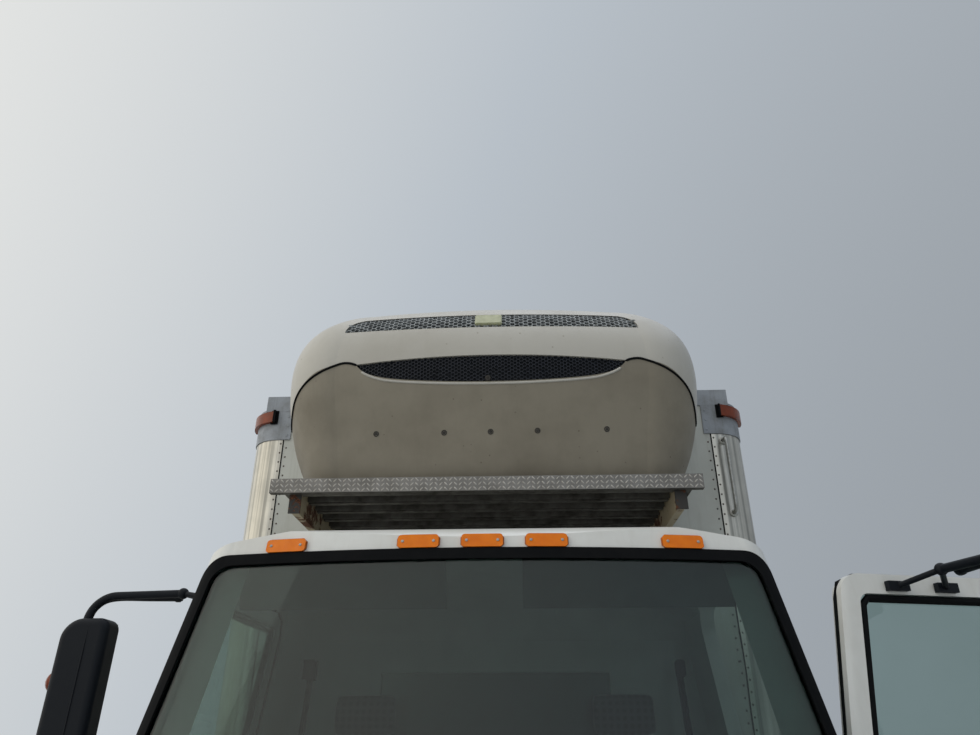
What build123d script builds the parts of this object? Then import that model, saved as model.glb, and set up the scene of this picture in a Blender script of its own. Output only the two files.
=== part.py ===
"""Refrigerated truck: tilting forward-control cab, insulated box and nose-mounted cooling unit.

Millimetres. The origin is on the ground, on the centreline under the front axle.
The front faces -Y, +X is the truck's left and +Z is up. The left cab door stands open.
"""
from functools import cache
from math import cos, pi, sqrt
import os

from build123d import *

# Running gear
wheelbase = 3810.0
front_track = 1640.0
rear_track = 1650.0
dual_spacing = 250.0
tyre_radius = 385.0
tyre_width = 215.0
bead_radius = 203.0
rim_width = 152.0
kingpin_inset = 150.0
tie_rod_setback = 180.0
steer_gap = 6.0

# Chassis frame
rail_top = 825.0
rail_height = 191.0
rail_flange = 70.0
rail_thickness = 6.0
frame_half_width = 425.5
frame_front = -720.0
frame_rear = 5380.0
crossmember_depth = 120.0
crossmember_y = (-640.0, 1130.0, 2250.0, 3260.0, 4360.0, 5250.0)
spring_width = 70.0
spring_leaf = 12.0
front_leaves = 5
rear_leaves = 6
front_spring_half = 560.0
rear_spring_half = 600.0
front_eye_drop = 95.0
rear_eye_drop = 45.0

# Cab
cab_back = 400.0
cab_half_width = 912.0
cab_floor_bottom = 860.0
cab_floor_top = 905.0
belt_height = 1330.0
side_lean = 0.134
eave_height = 2140.0
roof_height = 2235.0
nose_y = -1090.0
screen_base_y = -985.0
screen_lean = 0.242
front_bow = 70.0
cab_corner = 80.0
skin = 50.0
pivot_y = -800.0
pivot_z = 740.0
pivot_radius = 17.0
front_skirt = 775.0
hinge_x = 923.0
hinge_y = -790.0
door_hinge_z = (960.0, 1230.0)
door_barrel = 10.0
door_barrel_half = 22.0
door_pin = 5.0
leaf_thickness = 8.0
door_rear = 60.0
door_gap = 6.0
door_open = 77.0
door_sill = 640.0
door_knee = 1645.0
door_head = 2085.0
arch_radius = 470.0
window_base = 1370.0
window_frame = 56.0
window_frame_thickness = 30.0
glass_thickness = 5.0
glass_inset = 18.0
gasket_width = 31.0
gasket_proud = 9.0
gasket_depth = 14.0
gasket_wrap = 44.0
gasket_half_base = 900.0
gasket_lean = 0.1425
gasket_base = 1335.0
gasket_top = 2133.0
screen_corner = 75.0
tunnel_half_width = 345.0
tunnel_top = 1120.0
tunnel_wall = 22.0

# Bumpers and steps
bumper_front = -1150.0
bumper_plate = 8.0
bumper_bottom = 430.0
bumper_height = 300.0
bumper_half_width = 925.0

# Insulated box
box_front = 560.0
box_length = 4880.0
box_half_width = 1219.0
wall_thickness = 75.0
box_floor_top = 1130.0
floor_thickness = 120.0
box_top = 3222.0
cap_step = 3139.0
post_top = 2990.0
post_radius = 150.0
rear_frame_depth = 90.0
rear_frame_width = 95.0
rear_door_thickness = 80.0
rear_door_gap = 6.0
rear_hinge_proud = 30.0

# Cooling unit and catwalk
unit_bottom = 2585.0
unit_top = 3480.0
unit_depth = 650.0
unit_half_width = 892.0
unit_mount_gap = 0.3
deck_top = 2569.0
deck_fascia = 56.0
deck_depth = 660.0
deck_half_width = 830.0
deck_sheet = 4.0
deck_ribs = 5
deck_offset = -22.0
deck_arm_x = 735.5
deck_arm_depth = 123.0
deck_arm_width = 28.0
deck_arm_offset = -17.0
seat_gap = 0.3

box_rear = box_front + box_length
floor_bottom = box_floor_top - floor_thickness
axle_z = tyre_radius
rail_bottom = rail_top - rail_height
unit_front = box_front - unit_depth
deck_front = box_front - deck_depth
kingpin_x = front_track / 2 - kingpin_inset
spring_x = frame_half_width - rail_flange / 2

os.makedirs("parts", exist_ok=True)


def keep(piece, name):
    """Label a finished piece and write it to its STEP file."""
    piece.part.label = name
    export_step(piece.part, f"parts/{name}.step")


# Chassis: two channel rails with the web outside
with BuildPart() as frame_rails:
    with BuildSketch(Plane.XZ.offset(-frame_front)):
        for side in (-1, 1):
            with Locations((side * (frame_half_width - rail_flange / 2), rail_top - rail_height / 2)):
                Rectangle(rail_flange, rail_height)
            with Locations((side * (frame_half_width - rail_flange / 2 - rail_thickness),
                            rail_top - rail_height / 2)):
                Rectangle(rail_flange, rail_height - 2 * rail_thickness, mode=Mode.SUBTRACT)
    extrude(amount=-(frame_rear - frame_front))
keep(frame_rails, "frame_rails")

# Crossmembers: channels that seat between the two webs
web_gap = 2 * (frame_half_width - rail_thickness)
with BuildPart() as frame_crossmembers:
    for y in crossmember_y:
        with BuildSketch(Plane.YZ.offset(-web_gap / 2)):
            with Locations((y, rail_top - rail_height / 2)):
                Rectangle(rail_flange, crossmember_depth)
            with Locations((y + rail_thickness, rail_top - rail_height / 2)):
                Rectangle(rail_flange, crossmember_depth - 2 * rail_thickness, mode=Mode.SUBTRACT)
        extrude(amount=web_gap)
keep(frame_crossmembers, "frame_crossmembers")


def leaf_pack(y_axle, half_length, leaves, bottom, eye_drop):
    """Both leaf packs of one axle, with eyes and hangers under the rails.

    bottom is the underside of the pack at the axle; each leaf is shorter than the one above it.
    """
    pack_top = bottom + leaves * spring_leaf
    eye_z = rail_bottom - eye_drop
    rise = eye_z - pack_top
    with BuildPart() as springs:
        for side in (-1, 1):
            with BuildSketch(Plane.YZ.offset(side * spring_x - spring_width / 2)):
                with BuildLine():
                    top = ThreePointArc((y_axle - half_length, pack_top + rise),
                                        (y_axle, pack_top), (y_axle + half_length, pack_top + rise))
                    Line(top @ 1, (y_axle + half_length, pack_top + rise - spring_leaf))
                    ThreePointArc((y_axle + half_length, pack_top + rise - spring_leaf),
                                  (y_axle, pack_top - spring_leaf),
                                  (y_axle - half_length, pack_top + rise - spring_leaf))
                    Line((y_axle - half_length, pack_top + rise - spring_leaf), top @ 0)
                make_face()
                for number in range(1, leaves):
                    reach = half_length * (1 - number / leaves)
                    lift = rise * (reach / half_length) ** 2
                    low = pack_top - (number + 1) * spring_leaf
                    with BuildLine():
                        upper = ThreePointArc((y_axle - reach, low + lift + 1.5 * spring_leaf),
                                              (y_axle, low + 1.5 * spring_leaf),
                                              (y_axle + reach, low + lift + 1.5 * spring_leaf))
                        Line(upper @ 1, (y_axle + reach, low + lift))
                        ThreePointArc((y_axle + reach, low + lift), (y_axle, low),
                                      (y_axle - reach, low + lift))
                        Line((y_axle - reach, low + lift), upper @ 0)
                    make_face()
            extrude(amount=spring_width)
            for end in (-1, 1):
                with BuildSketch(Plane.YZ.offset(side * spring_x - spring_width / 2)):
                    with Locations((y_axle + end * half_length, eye_z - spring_leaf / 2)):
                        Circle(26)
                    with Locations((y_axle + end * half_length, (eye_z + rail_bottom) / 2)):
                        Rectangle(44, rail_bottom - eye_z)
                extrude(amount=spring_width)
    return springs


# Axles: a dropped forged I-beam in front, a driven housing behind
beam_height = 78.0
beam_width = 88.0
beam_web = 26.0
beam_z = 330.0
beam_end_z = axle_z
kingpin_radius = 18.0
knuckle_boss = 44.0
beam_top = beam_z + beam_height / 2

with BuildPart() as front_axle_beam:
    with BuildSketch(Plane.XZ.offset(-beam_width / 2)):
        with BuildLine():
            Polyline((-kingpin_x, beam_end_z + beam_height / 2),
                     (-kingpin_x + 90, beam_end_z + beam_height / 2),
                     (-kingpin_x + 190, beam_top), (kingpin_x - 190, beam_top),
                     (kingpin_x - 90, beam_end_z + beam_height / 2),
                     (kingpin_x, beam_end_z + beam_height / 2),
                     (kingpin_x, beam_end_z - beam_height / 2),
                     (kingpin_x - 60, beam_end_z - beam_height / 2),
                     (kingpin_x - 160, beam_z - beam_height / 2),
                     (-kingpin_x + 160, beam_z - beam_height / 2),
                     (-kingpin_x + 60, beam_end_z - beam_height / 2),
                     (-kingpin_x, beam_end_z - beam_height / 2), close=True)
        make_face()
    extrude(amount=beam_width)
    for face in (-1, 1):
        with Locations((0, face * (beam_width + beam_web) / 4, beam_z)):
            Box(2 * kingpin_x - 420, (beam_width - beam_web) / 2, beam_height - 32,
                mode=Mode.SUBTRACT)
    for side in (-1, 1):
        with Locations((side * kingpin_x, 0, beam_end_z)):
            Cylinder(knuckle_boss, beam_height)
        with Locations((side * kingpin_x, 0, beam_end_z)):
            Cylinder(kingpin_radius, beam_height + 4, mode=Mode.SUBTRACT)
        with Locations((side * spring_x, 0, beam_top + 6)):
            Box(spring_width + 24, beam_width + 50, 12)
keep(front_axle_beam, "front_axle_beam")

housing_radius = 62.0
diff_radius = 185.0
rear_tube_end = rear_track / 2 - dual_spacing / 2 - tyre_width / 2 + 30
rear_spindle_end = rear_track / 2 + 40
spindle_radius = 34.0
bore_clearance = 0.6
with BuildPart() as rear_axle_housing:
    with BuildSketch(Plane.XY.offset(axle_z)):
        with BuildLine():
            Polyline((-rear_tube_end, wheelbase), (-rear_tube_end, wheelbase + housing_radius),
                     (-diff_radius * 1.25, wheelbase + housing_radius))
            ThreePointArc((-diff_radius * 1.25, wheelbase + housing_radius),
                          (0, wheelbase + diff_radius),
                          (diff_radius * 1.25, wheelbase + housing_radius))
            Polyline((diff_radius * 1.25, wheelbase + housing_radius),
                     (rear_tube_end, wheelbase + housing_radius), (rear_tube_end, wheelbase),
                     (-rear_tube_end, wheelbase))
        make_face()
    revolve(axis=Axis((0, wheelbase, axle_z), (1, 0, 0)))
    with Locations(Location((0, wheelbase - 210, axle_z), (90, 0, 0))):
        Cone(130, 70, 190)
    for side in (-1, 1):
        with Locations((side * spring_x, wheelbase, axle_z + housing_radius + 2)):
            Box(spring_width + 24, 150, 36)
    with Locations(Location((0, wheelbase, axle_z), (0, 90, 0))):
        Cylinder(spindle_radius, 2 * rear_spindle_end)

leaf_packs = leaf_pack(0.0, front_spring_half, front_leaves, beam_top + 12 + seat_gap,
                          front_eye_drop)
leaf_packs.part += leaf_pack(wheelbase, rear_spring_half, rear_leaves,
                         axle_z + housing_radius + 20 + seat_gap, rear_eye_drop).part
keep(leaf_packs, "leaf_springs")

# Engine and gearbox: one plain block between the rails, behind the front axle
engine_width = 560.0
engine_front = -420.0
engine_rear = 900.0
engine_bottom = 470.0
engine_top = 1090.0
with BuildPart() as engine_block:
    with BuildSketch(Plane.YZ.offset(-engine_width / 2)):
        with BuildLine():
            Polyline((engine_front, engine_bottom + 60), (engine_front, engine_top),
                     (engine_front + 720, engine_top), (engine_front + 790, engine_top - 160),
                     (engine_rear, rail_top - 90), (engine_rear, engine_bottom + 90),
                     (engine_front + 700, engine_bottom + 60), (engine_front + 640, engine_bottom),
                     (engine_front + 250, engine_bottom), (engine_front + 190, engine_bottom + 60),
                     close=True)
        make_face()
    extrude(amount=engine_width)
    for side in (-1, 1):
        with Locations((side * (engine_width + web_gap) / 4, -250, rail_top - 60)):
            Box((web_gap - engine_width) / 2 - 2 * seat_gap, 90, 60)

shaft_radius = 42.0
shaft_drop = 30.0
with BuildPart() as drive_shaft:
    with BuildSketch(Plane.XZ.offset(-engine_rear - seat_gap)):
        with Locations((0, rail_bottom - shaft_drop)):
            Circle(shaft_radius)
    with BuildSketch(Plane.XZ.offset(-(wheelbase - 305 - seat_gap))):
        with Locations((0, axle_z)):
            Circle(shaft_radius)
    loft()
rear_axle_housing.part += drive_shaft.part
keep(rear_axle_housing, "rear_axle_and_shaft")

with BuildPart() as radiator:
    with Locations((0, -560, 790)):
        Box(640, 70, 420)
    with Locations((0, -560, 790)):
        Box(560, 80, 340, mode=Mode.SUBTRACT)
    with Locations((0, -560, 790)):
        Box(566, 30, 346)
    for side in (-1, 1):
        with Locations((side * (640 + web_gap) / 4, -560, 760)):
            Box((web_gap - 640) / 2 - seat_gap, 60, 40)
engine_block.part += radiator.part
keep(engine_block, "engine_and_radiator")

# What hangs on the outside of the rails
tank_length = 760.0
tank_width = 330.0
tank_height = 330.0
tank_y = 1750.0
tank_top = 790.0
with BuildPart() as fuel_tank:
    with BuildSketch(Plane.XZ.offset(-(tank_y - tank_length / 2))):
        with Locations((-(frame_half_width + 35 + tank_width / 2), tank_top - tank_height / 2)):
            RectangleRounded(tank_width, tank_height, 60)
    extrude(amount=-tank_length)
    for y in (tank_y - 250, tank_y + 250):
        with Locations((-(frame_half_width + seat_gap + 20), y, tank_top - tank_height / 2)):
            Box(40, 50, tank_height * 0.8)
    with Locations(Location((-(frame_half_width + 35 + tank_width), tank_y + 160, tank_top - 90),
                            (0, -90, 0))):
        Cylinder(42, 44)
keep(fuel_tank, "fuel_tank")

battery_length = 460.0
with BuildPart() as battery_box:
    with Locations((frame_half_width + seat_gap + 158, 1300, 650)):
        Box(300, battery_length, 280)
    with Locations((frame_half_width + seat_gap + 158, 1300, 796)):
        Box(316, battery_length + 16, 12)
keep(battery_box, "battery_box")

silencer_radius = 118.0
with BuildPart() as exhaust_silencer:
    with BuildSketch(Plane.XZ.offset(-1680)):
        with Locations((frame_half_width + 160, 600)):
            Circle(silencer_radius)
    extrude(amount=-800)
    with BuildSketch(Plane.XZ.offset(-2480)):
        with Locations((frame_half_width + 160, 560)):
            Circle(34)
    extrude(amount=-420)
    for y in (1780, 2380):
        with Locations((frame_half_width + seat_gap + 60, y, 690)):
            Box(120, 40, 90)
keep(exhaust_silencer, "exhaust_silencer")

# Front bumper: a wrapped plate on two brackets bolted to the rail ends
bumper_corner = 160.0
with BuildPart() as front_bumper:
    with BuildSketch(Plane.XY.offset(bumper_bottom)):
        with BuildLine():
            Polyline((-bumper_half_width, bumper_front + 1.5 * bumper_corner),
                     (-bumper_half_width, bumper_front + bumper_corner),
                     (-bumper_half_width + bumper_corner, bumper_front),
                     (bumper_half_width - bumper_corner, bumper_front),
                     (bumper_half_width, bumper_front + bumper_corner),
                     (bumper_half_width, bumper_front + 1.5 * bumper_corner))
            offset(amount=bumper_plate, side=Side.LEFT)
        make_face()
    extrude(amount=bumper_height)
    for side in (-1, 1):
        with BuildSketch(Plane.YZ.offset(side * (frame_half_width - 40) - 4)):
            Polygon((bumper_front + bumper_plate, bumper_bottom + 20),
                    (frame_front - 60, bumper_bottom + 120), (frame_front + 40, rail_bottom - seat_gap), (frame_front + 40, rail_bottom - 60),
                    (frame_front - 20, bumper_bottom), (bumper_front + bumper_plate, bumper_bottom - 20),
                    align=None)
        extrude(amount=8)
keep(front_bumper, "front_bumper")

# Steering: knuckles on kingpins, tied by a rod behind the beam
steer_lug = 20.0
backplate_radius = 160.0
backplate_at = 56.0
backplate_thickness = 8.0
spindle_length = 190.0
arm_z = beam_end_z - beam_height / 2 - 2 - steer_lug / 2
tie_pin_radius = 8.0
tie_rod_radius = 14.0

for side, name in ((1, "left"), (-1, "right")):
    with BuildPart() as knuckle:
        for level in (-1, 1):
            lug_z = beam_end_z + level * (beam_height / 2 + 2 + steer_lug / 2)
            with Locations((side * kingpin_x, 0, lug_z)):
                Cylinder(knuckle_boss - 4, steer_lug)
            with Locations((side * (kingpin_x + backplate_at / 2), 0, lug_z)):
                Box(backplate_at, 70, steer_lug)
        with Locations((side * kingpin_x, 0, beam_end_z)):
            Cylinder(kingpin_radius - bore_clearance, beam_height + 2 * steer_lug)
        with Locations(Location((side * (kingpin_x + backplate_at), 0, axle_z), (0, side * 90, 0))):
            Cylinder(backplate_radius, backplate_thickness,
                     align=(Align.CENTER, Align.CENTER, Align.MIN))
            Cylinder(spindle_radius, spindle_length - backplate_at,
                     align=(Align.CENTER, Align.CENTER, Align.MIN))
        with BuildSketch(Plane.XY.offset(arm_z - steer_lug / 2)):
            with BuildLine():
                Polyline((side * (kingpin_x - 20), 0), (side * (kingpin_x - 16), tie_rod_setback),
                         (side * (kingpin_x - 10), tie_rod_setback + 18),
                         (side * (kingpin_x + 10), tie_rod_setback + 18),
                         (side * (kingpin_x + 16), tie_rod_setback),
                         (side * (kingpin_x + 30), 0), close=True)
            make_face()
        extrude(amount=steer_lug)
        with Locations((side * (kingpin_x), tie_rod_setback, arm_z)):
            Cylinder(tie_pin_radius + bore_clearance, 2 * steer_lug, mode=Mode.SUBTRACT)
    keep(knuckle, f"knuckle_{name}")

tie_end_half = tie_rod_radius + 3
tie_rod_z = arm_z - steer_lug / 2 - 2 - tie_end_half
with BuildPart() as tie_rod:
    with Locations(Location((0, tie_rod_setback, tie_rod_z), (0, 90, 0))):
        Cylinder(tie_rod_radius, 2 * (kingpin_x))
    for side in (-1, 1):
        with Locations((side * (kingpin_x), tie_rod_setback, tie_rod_z)):
            Cylinder(tie_rod_radius + 6, 2 * tie_end_half)
            Cylinder(tie_pin_radius - (1.5 if side < 0 else 0), tie_end_half + steer_lug + 6,
                     align=(Align.CENTER, Align.CENTER, Align.MIN))
keep(tie_rod, "tie_rod")

# Wheels: pressed steel discs on drop-centre rims, the same wheel at all six places
disc_thickness = 12.0
disc_radius = 118.0
drop_radius = bead_radius - 23
barrel_thickness = 6.0
flange_height = 14.0
drum_radius = 150.0
hub_radius = 62.0
hand_holes = 6
hand_hole_radius = 15.0
hand_hole_circle = 142.0


def rim_outlines(centre, dish):
    """Half sections of one wheel's barrel and disc, as x and radius; the disc stands on dish."""
    half = rim_width / 2
    inner = bead_radius - barrel_thickness
    crest = bead_radius + flange_height
    face = centre + dish * (dual_spacing / 2 - disc_thickness / 2)
    near = face - dish * disc_thickness / 2
    far = face + dish * disc_thickness / 2
    barrel = [(centre - half, crest), (centre - half + barrel_thickness, crest),
              (centre - half + barrel_thickness, bead_radius), (centre - 40, bead_radius),
              (centre - 30, drop_radius), (centre + 30, drop_radius), (centre + 40, bead_radius),
              (centre + half - barrel_thickness, bead_radius),
              (centre + half - barrel_thickness, crest), (centre + half, crest),
              (centre + half, inner), (centre + 46, inner),
              (centre + 36, drop_radius - barrel_thickness),
              (centre - 36, drop_radius - barrel_thickness), (centre - 46, inner),
              (centre - half, inner)]
    disc = [(centre + dish * 14, drop_radius - 2), (centre + dish * 34, drop_radius - 2),
            (far, disc_radius), (far, hub_radius - 2), (near, hub_radius - 2),
            (near, disc_radius - 8)]
    return [barrel, disc]


def tyre(centre, y_axle):
    """One tyre as a ring that fills the rim between its flanges."""
    half = tyre_width / 2
    bead_half = rim_width / 2 - barrel_thickness - seat_gap
    foot = bead_radius + seat_gap
    shoulder = tyre_radius - 9
    with BuildPart() as ring:
        with BuildSketch(Plane.XZ.offset(-y_axle)):
            with BuildLine():
                Polyline((centre - bead_half, axle_z + foot + flange_height),
                         (centre - bead_half, axle_z + foot), (centre + bead_half, axle_z + foot),
                         (centre + bead_half, axle_z + foot + flange_height))
                ThreePointArc((centre + bead_half, axle_z + foot + flange_height),
                              (centre + half, axle_z + foot + 90),
                              (centre + half - 18, axle_z + shoulder))
                ThreePointArc((centre + half - 18, axle_z + shoulder),
                              (centre, axle_z + tyre_radius),
                              (centre - half + 18, axle_z + shoulder))
                ThreePointArc((centre - half + 18, axle_z + shoulder),
                              (centre - half, axle_z + foot + 90),
                              (centre - bead_half, axle_z + foot + flange_height))
            make_face()
        revolve(axis=Axis((0, y_axle, axle_z), (1, 0, 0)))
    return ring


def hub_outline(start, disc_face, end, direction, bore):
    """Half section of the drum and hub: a bore for the spindle, closed by its cap."""
    return [(start, bore), (start, drum_radius), (start + direction * 84, drum_radius),
            (start + direction * 96, hub_radius + 24), (disc_face, hub_radius + 24),
            (disc_face, hub_radius), (end - direction * 24, hub_radius - 6),
            (end, hub_radius - 20), (end, 0), (end - direction * 30, 0),
            (end - direction * 30, bore)]


hub_bore = spindle_radius + bore_clearance
for side, name in ((1, "left"), (-1, "right")):
    centre = side * front_track / 2
    drum_start = side * (kingpin_x + backplate_at + backplate_thickness + steer_gap)
    disc_plane = side * (front_track / 2 + dual_spacing / 2 - disc_thickness)
    with BuildPart() as front_wheel:
        outlines = rim_outlines(centre, side)
        outlines.append(hub_outline(drum_start, disc_plane, side * (front_track / 2 + 188), side,
                                    hub_bore))
        with BuildSketch(Plane.XZ):
            for outline in outlines:
                with BuildLine():
                    Polyline(*outline, close=True)
                make_face()
        revolve(axis=Axis.X)
        with Locations(Location((disc_plane - side * 60, 0, 0), (0, side * 90, 0))):
            with PolarLocations(hand_hole_circle, hand_holes):
                Cylinder(hand_hole_radius, 120, align=(Align.CENTER, Align.CENTER, Align.MIN),
                         mode=Mode.SUBTRACT)
    front_wheel.part = front_wheel.part.moved(Location((0, 0, axle_z)))
    keep(front_wheel, f"front_wheel_{name}")
    keep(tyre(centre, 0.0), f"front_tyre_{name}")
    inner = side * (rear_track / 2 - dual_spacing / 2)
    outer = side * (rear_track / 2 + dual_spacing / 2)
    with BuildPart() as rear_wheel:
        outlines = rim_outlines(inner, side) + rim_outlines(outer, -side)
        outlines.append(hub_outline(side * (rear_tube_end + steer_gap),
                                    side * (rear_track / 2 - disc_thickness),
                                    side * (rear_track / 2 + 120), side, hub_bore))
        with BuildSketch(Plane.XZ):
            for outline in outlines:
                with BuildLine():
                    Polyline(*outline, close=True)
                make_face()
        revolve(axis=Axis.X)
        with Locations(Location((side * (rear_track / 2 - 80), 0, 0), (0, side * 90, 0))):
            with PolarLocations(hand_hole_circle, hand_holes):
                Cylinder(hand_hole_radius, 160, align=(Align.CENTER, Align.CENTER, Align.MIN),
                         mode=Mode.SUBTRACT)
    rear_wheel.part = rear_wheel.part.moved(Location((0, wheelbase, axle_z)))
    keep(rear_wheel, f"rear_wheels_{name}")
    rear_tyres = tyre(inner, wheelbase)
    rear_tyres.part += tyre(outer, wheelbase).part
    keep(rear_tyres, f"rear_tyres_{name}")

# Insulated box: cross-bearers on two sills, panels between quarter-round posts
sill_height = 80.0
bearer_flange = 60.0
bearer_web = 8.0
bearer_count = 11
post_seam = post_radius + 24.0
header_inset = 28.0
cap_proud = 5.0
panel_front = box_front + post_seam
frame_face = box_rear - rear_frame_depth
bearer_bottom = rail_top + sill_height + seat_gap

with BuildPart() as box_subframe:
    for side in (-1, 1):
        with Locations((side * spring_x, (box_front + 40 + frame_rear) / 2, rail_top + sill_height / 2)):
            Box(rail_flange - 8, frame_rear - box_front - 40, sill_height)
    for number in range(bearer_count):
        y = box_front + 90 + number * (box_length - 180) / (bearer_count - 1)
        with BuildSketch(Plane.YZ.offset(-box_half_width + 30)):
            with Locations((y, floor_bottom - 4)):
                Rectangle(bearer_flange, 8)
            with Locations((y, bearer_bottom + 4)):
                Rectangle(bearer_flange, 8)
            with Locations((y, (floor_bottom + bearer_bottom) / 2)):
                Rectangle(bearer_web, floor_bottom - bearer_bottom)
        extrude(amount=2 * box_half_width - 60)
keep(box_subframe, "box_subframe")

with BuildPart() as box_floor:
    with Locations((0, (box_front + wall_thickness + frame_face) / 2, floor_bottom + floor_thickness / 2)):
        Box(2 * (box_half_width - wall_thickness), frame_face - box_front - wall_thickness,
            floor_thickness)
    fillet(box_floor.edges().filter_by(Axis.Z).group_by(Axis.Y)[0], radius=post_radius - wall_thickness)
keep(box_floor, "box_floor")

with BuildPart() as box_side_walls:
    for side in (-1, 1):
        with Locations((side * (box_half_width - wall_thickness / 2), (panel_front + frame_face) / 2,
                        (floor_bottom + cap_step) / 2)):
            Box(wall_thickness, frame_face - panel_front, cap_step - floor_bottom)
keep(box_side_walls, "box_side_walls")

with BuildPart() as box_front_wall:
    with Locations((0, box_front + wall_thickness / 2, (floor_bottom + cap_step) / 2)):
        Box(2 * (box_half_width - post_seam), wall_thickness, cap_step - floor_bottom)
keep(box_front_wall, "box_front_wall")


def corner_outline(side, grow, depth):
    """Outline points of a front corner in plan: seam, arc start, arc middle, arc end, seam."""
    reach = box_half_width + grow
    front = box_front - grow
    radius = post_radius + grow
    slant = radius * (1 - cos(pi / 4))
    inner = max(radius - depth, 20.0)
    inner_slant = depth + inner * (1 - cos(pi / 4))
    seam_x = side * (box_half_width - post_seam)
    seam_y = box_front + post_seam
    outer_points = [(seam_x, front), (side * (reach - radius), front),
                    (side * (reach - slant), front + slant), (side * reach, front + radius),
                    (side * reach, seam_y)]
    inner_points = [(side * (reach - depth), seam_y), (side * (reach - depth), front + depth + inner),
                    (side * (reach - inner_slant), front + inner_slant),
                    (side * (reach - depth - inner), front + depth), (seam_x, front + depth)]
    return outer_points + inner_points


cap_rim = 21.0
posts = {}
for name, grow, depth, bottom, top in (
        ("box_corner_posts", 0.0, wall_thickness, floor_bottom, post_top),
        ("box_corner_caps", cap_proud, wall_thickness + cap_proud, post_top, cap_step),
        ("rim", cap_proud, header_inset + cap_proud - 1.0, cap_step, cap_step + cap_rim)):
    with BuildPart() as posts[name]:
        for side in (-1, 1):
            corner = corner_outline(side, grow, depth)
            with BuildSketch(Plane.XY.offset(bottom)):
                with BuildLine():
                    Line(corner[0], corner[1])
                    ThreePointArc(corner[1], corner[2], corner[3])
                    Polyline(corner[3], corner[4], corner[5], corner[6])
                    ThreePointArc(corner[6], corner[7], corner[8])
                    Polyline(corner[8], corner[9], corner[0])
                make_face()
            extrude(amount=top - bottom)
posts["box_corner_caps"].part += posts["rim"].part
for name in ("box_corner_posts", "box_corner_caps"):
    keep(posts[name], name)

lamp_bottom = 3081.0
lamp_height = 56.0
lamp_inner_x = 1105.0
lamp_proud = 18.0
with BuildPart() as box_corner_lamps:
    for side in (-1, 1):
        corner = corner_outline(side, cap_proud + lamp_proud, lamp_proud - seat_gap)
        with BuildSketch(Plane.XY.offset(lamp_bottom)):
            with BuildLine():
                ThreePointArc(corner[1], corner[2], corner[3])
                Line(corner[3], corner[6])
                ThreePointArc(corner[6], corner[7], corner[8])
                Line(corner[8], corner[1])
            make_face()
        extrude(amount=lamp_height)
    with Locations((0, box_front, lamp_bottom + lamp_height / 2)):
        Box(2 * lamp_inner_x, 200, lamp_height + 20, mode=Mode.SUBTRACT)

with BuildPart() as box_roof:
    half = box_half_width - header_inset
    with BuildSketch(Plane.XY.offset(cap_step)):
        with Locations((0, box_front + header_inset + box_length)):
            RectangleRounded(2 * half, 2 * box_length, post_radius - header_inset)
        with Locations((0, frame_face + box_length)):
            Rectangle(2 * box_half_width, 2 * box_length, mode=Mode.SUBTRACT)
    extrude(amount=box_top - cap_step)
    fillet(box_roof.faces().sort_by(Axis.Z)[-1].edges().sort_by(Axis.Y)[:-1], radius=30)
keep(box_roof, "box_roof")

# Rear frame and its pair of doors on proud hinge pins
rear_opening_half = box_half_width - rear_frame_width
rear_opening_top = box_top - 120.0
hinge_pin_x = box_half_width + 22.0
hinge_pin_y = box_rear + 40.0
pin_radius = 6.0
barrel_radius = 12.0
barrel_half = 25.0
rear_hinge_z = (1330.0, 1850.0, 2400.0, 2930.0)
door_proud = 2.0
strap_thickness = 8.0
rod_radius = 13.0
rod_proud = 25.0
rod_inset = 170.0

with BuildPart() as box_rear_frame:
    with BuildSketch(Plane.XZ.offset(-frame_face)):
        with Locations((0, (floor_bottom + box_top) / 2)):
            Rectangle(2 * box_half_width, box_top - floor_bottom)
        with Locations((0, (box_floor_top + rear_opening_top) / 2)):
            Rectangle(2 * rear_opening_half, rear_opening_top - box_floor_top, mode=Mode.SUBTRACT)
    extrude(amount=-rear_frame_depth)
    for side in (-1, 1):
        for z in rear_hinge_z:
            for level in (-1, 1):
                z_barrel = z + level * (barrel_half * 1.5 + 2)
                with BuildSketch(Plane.XY.offset(z_barrel - barrel_half / 2)):
                    with Locations((side * hinge_pin_x, hinge_pin_y)):
                        Circle(barrel_radius)
                    with BuildLine():
                        Polyline((side * (box_half_width - 2), box_rear - 60),
                                 (side * (box_half_width + 8), box_rear - 60),
                                 (side * (hinge_pin_x + 8), hinge_pin_y),
                                 (side * (hinge_pin_x - 8), hinge_pin_y),
                                 (side * (box_half_width - 2), box_rear - 4), close=True)
                    make_face()
                extrude(amount=barrel_half)
            with Locations((side * hinge_pin_x, hinge_pin_y, z)):
                Cylinder(pin_radius, 2 * barrel_half + 8)
keep(box_rear_frame, "box_rear_frame")

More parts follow.
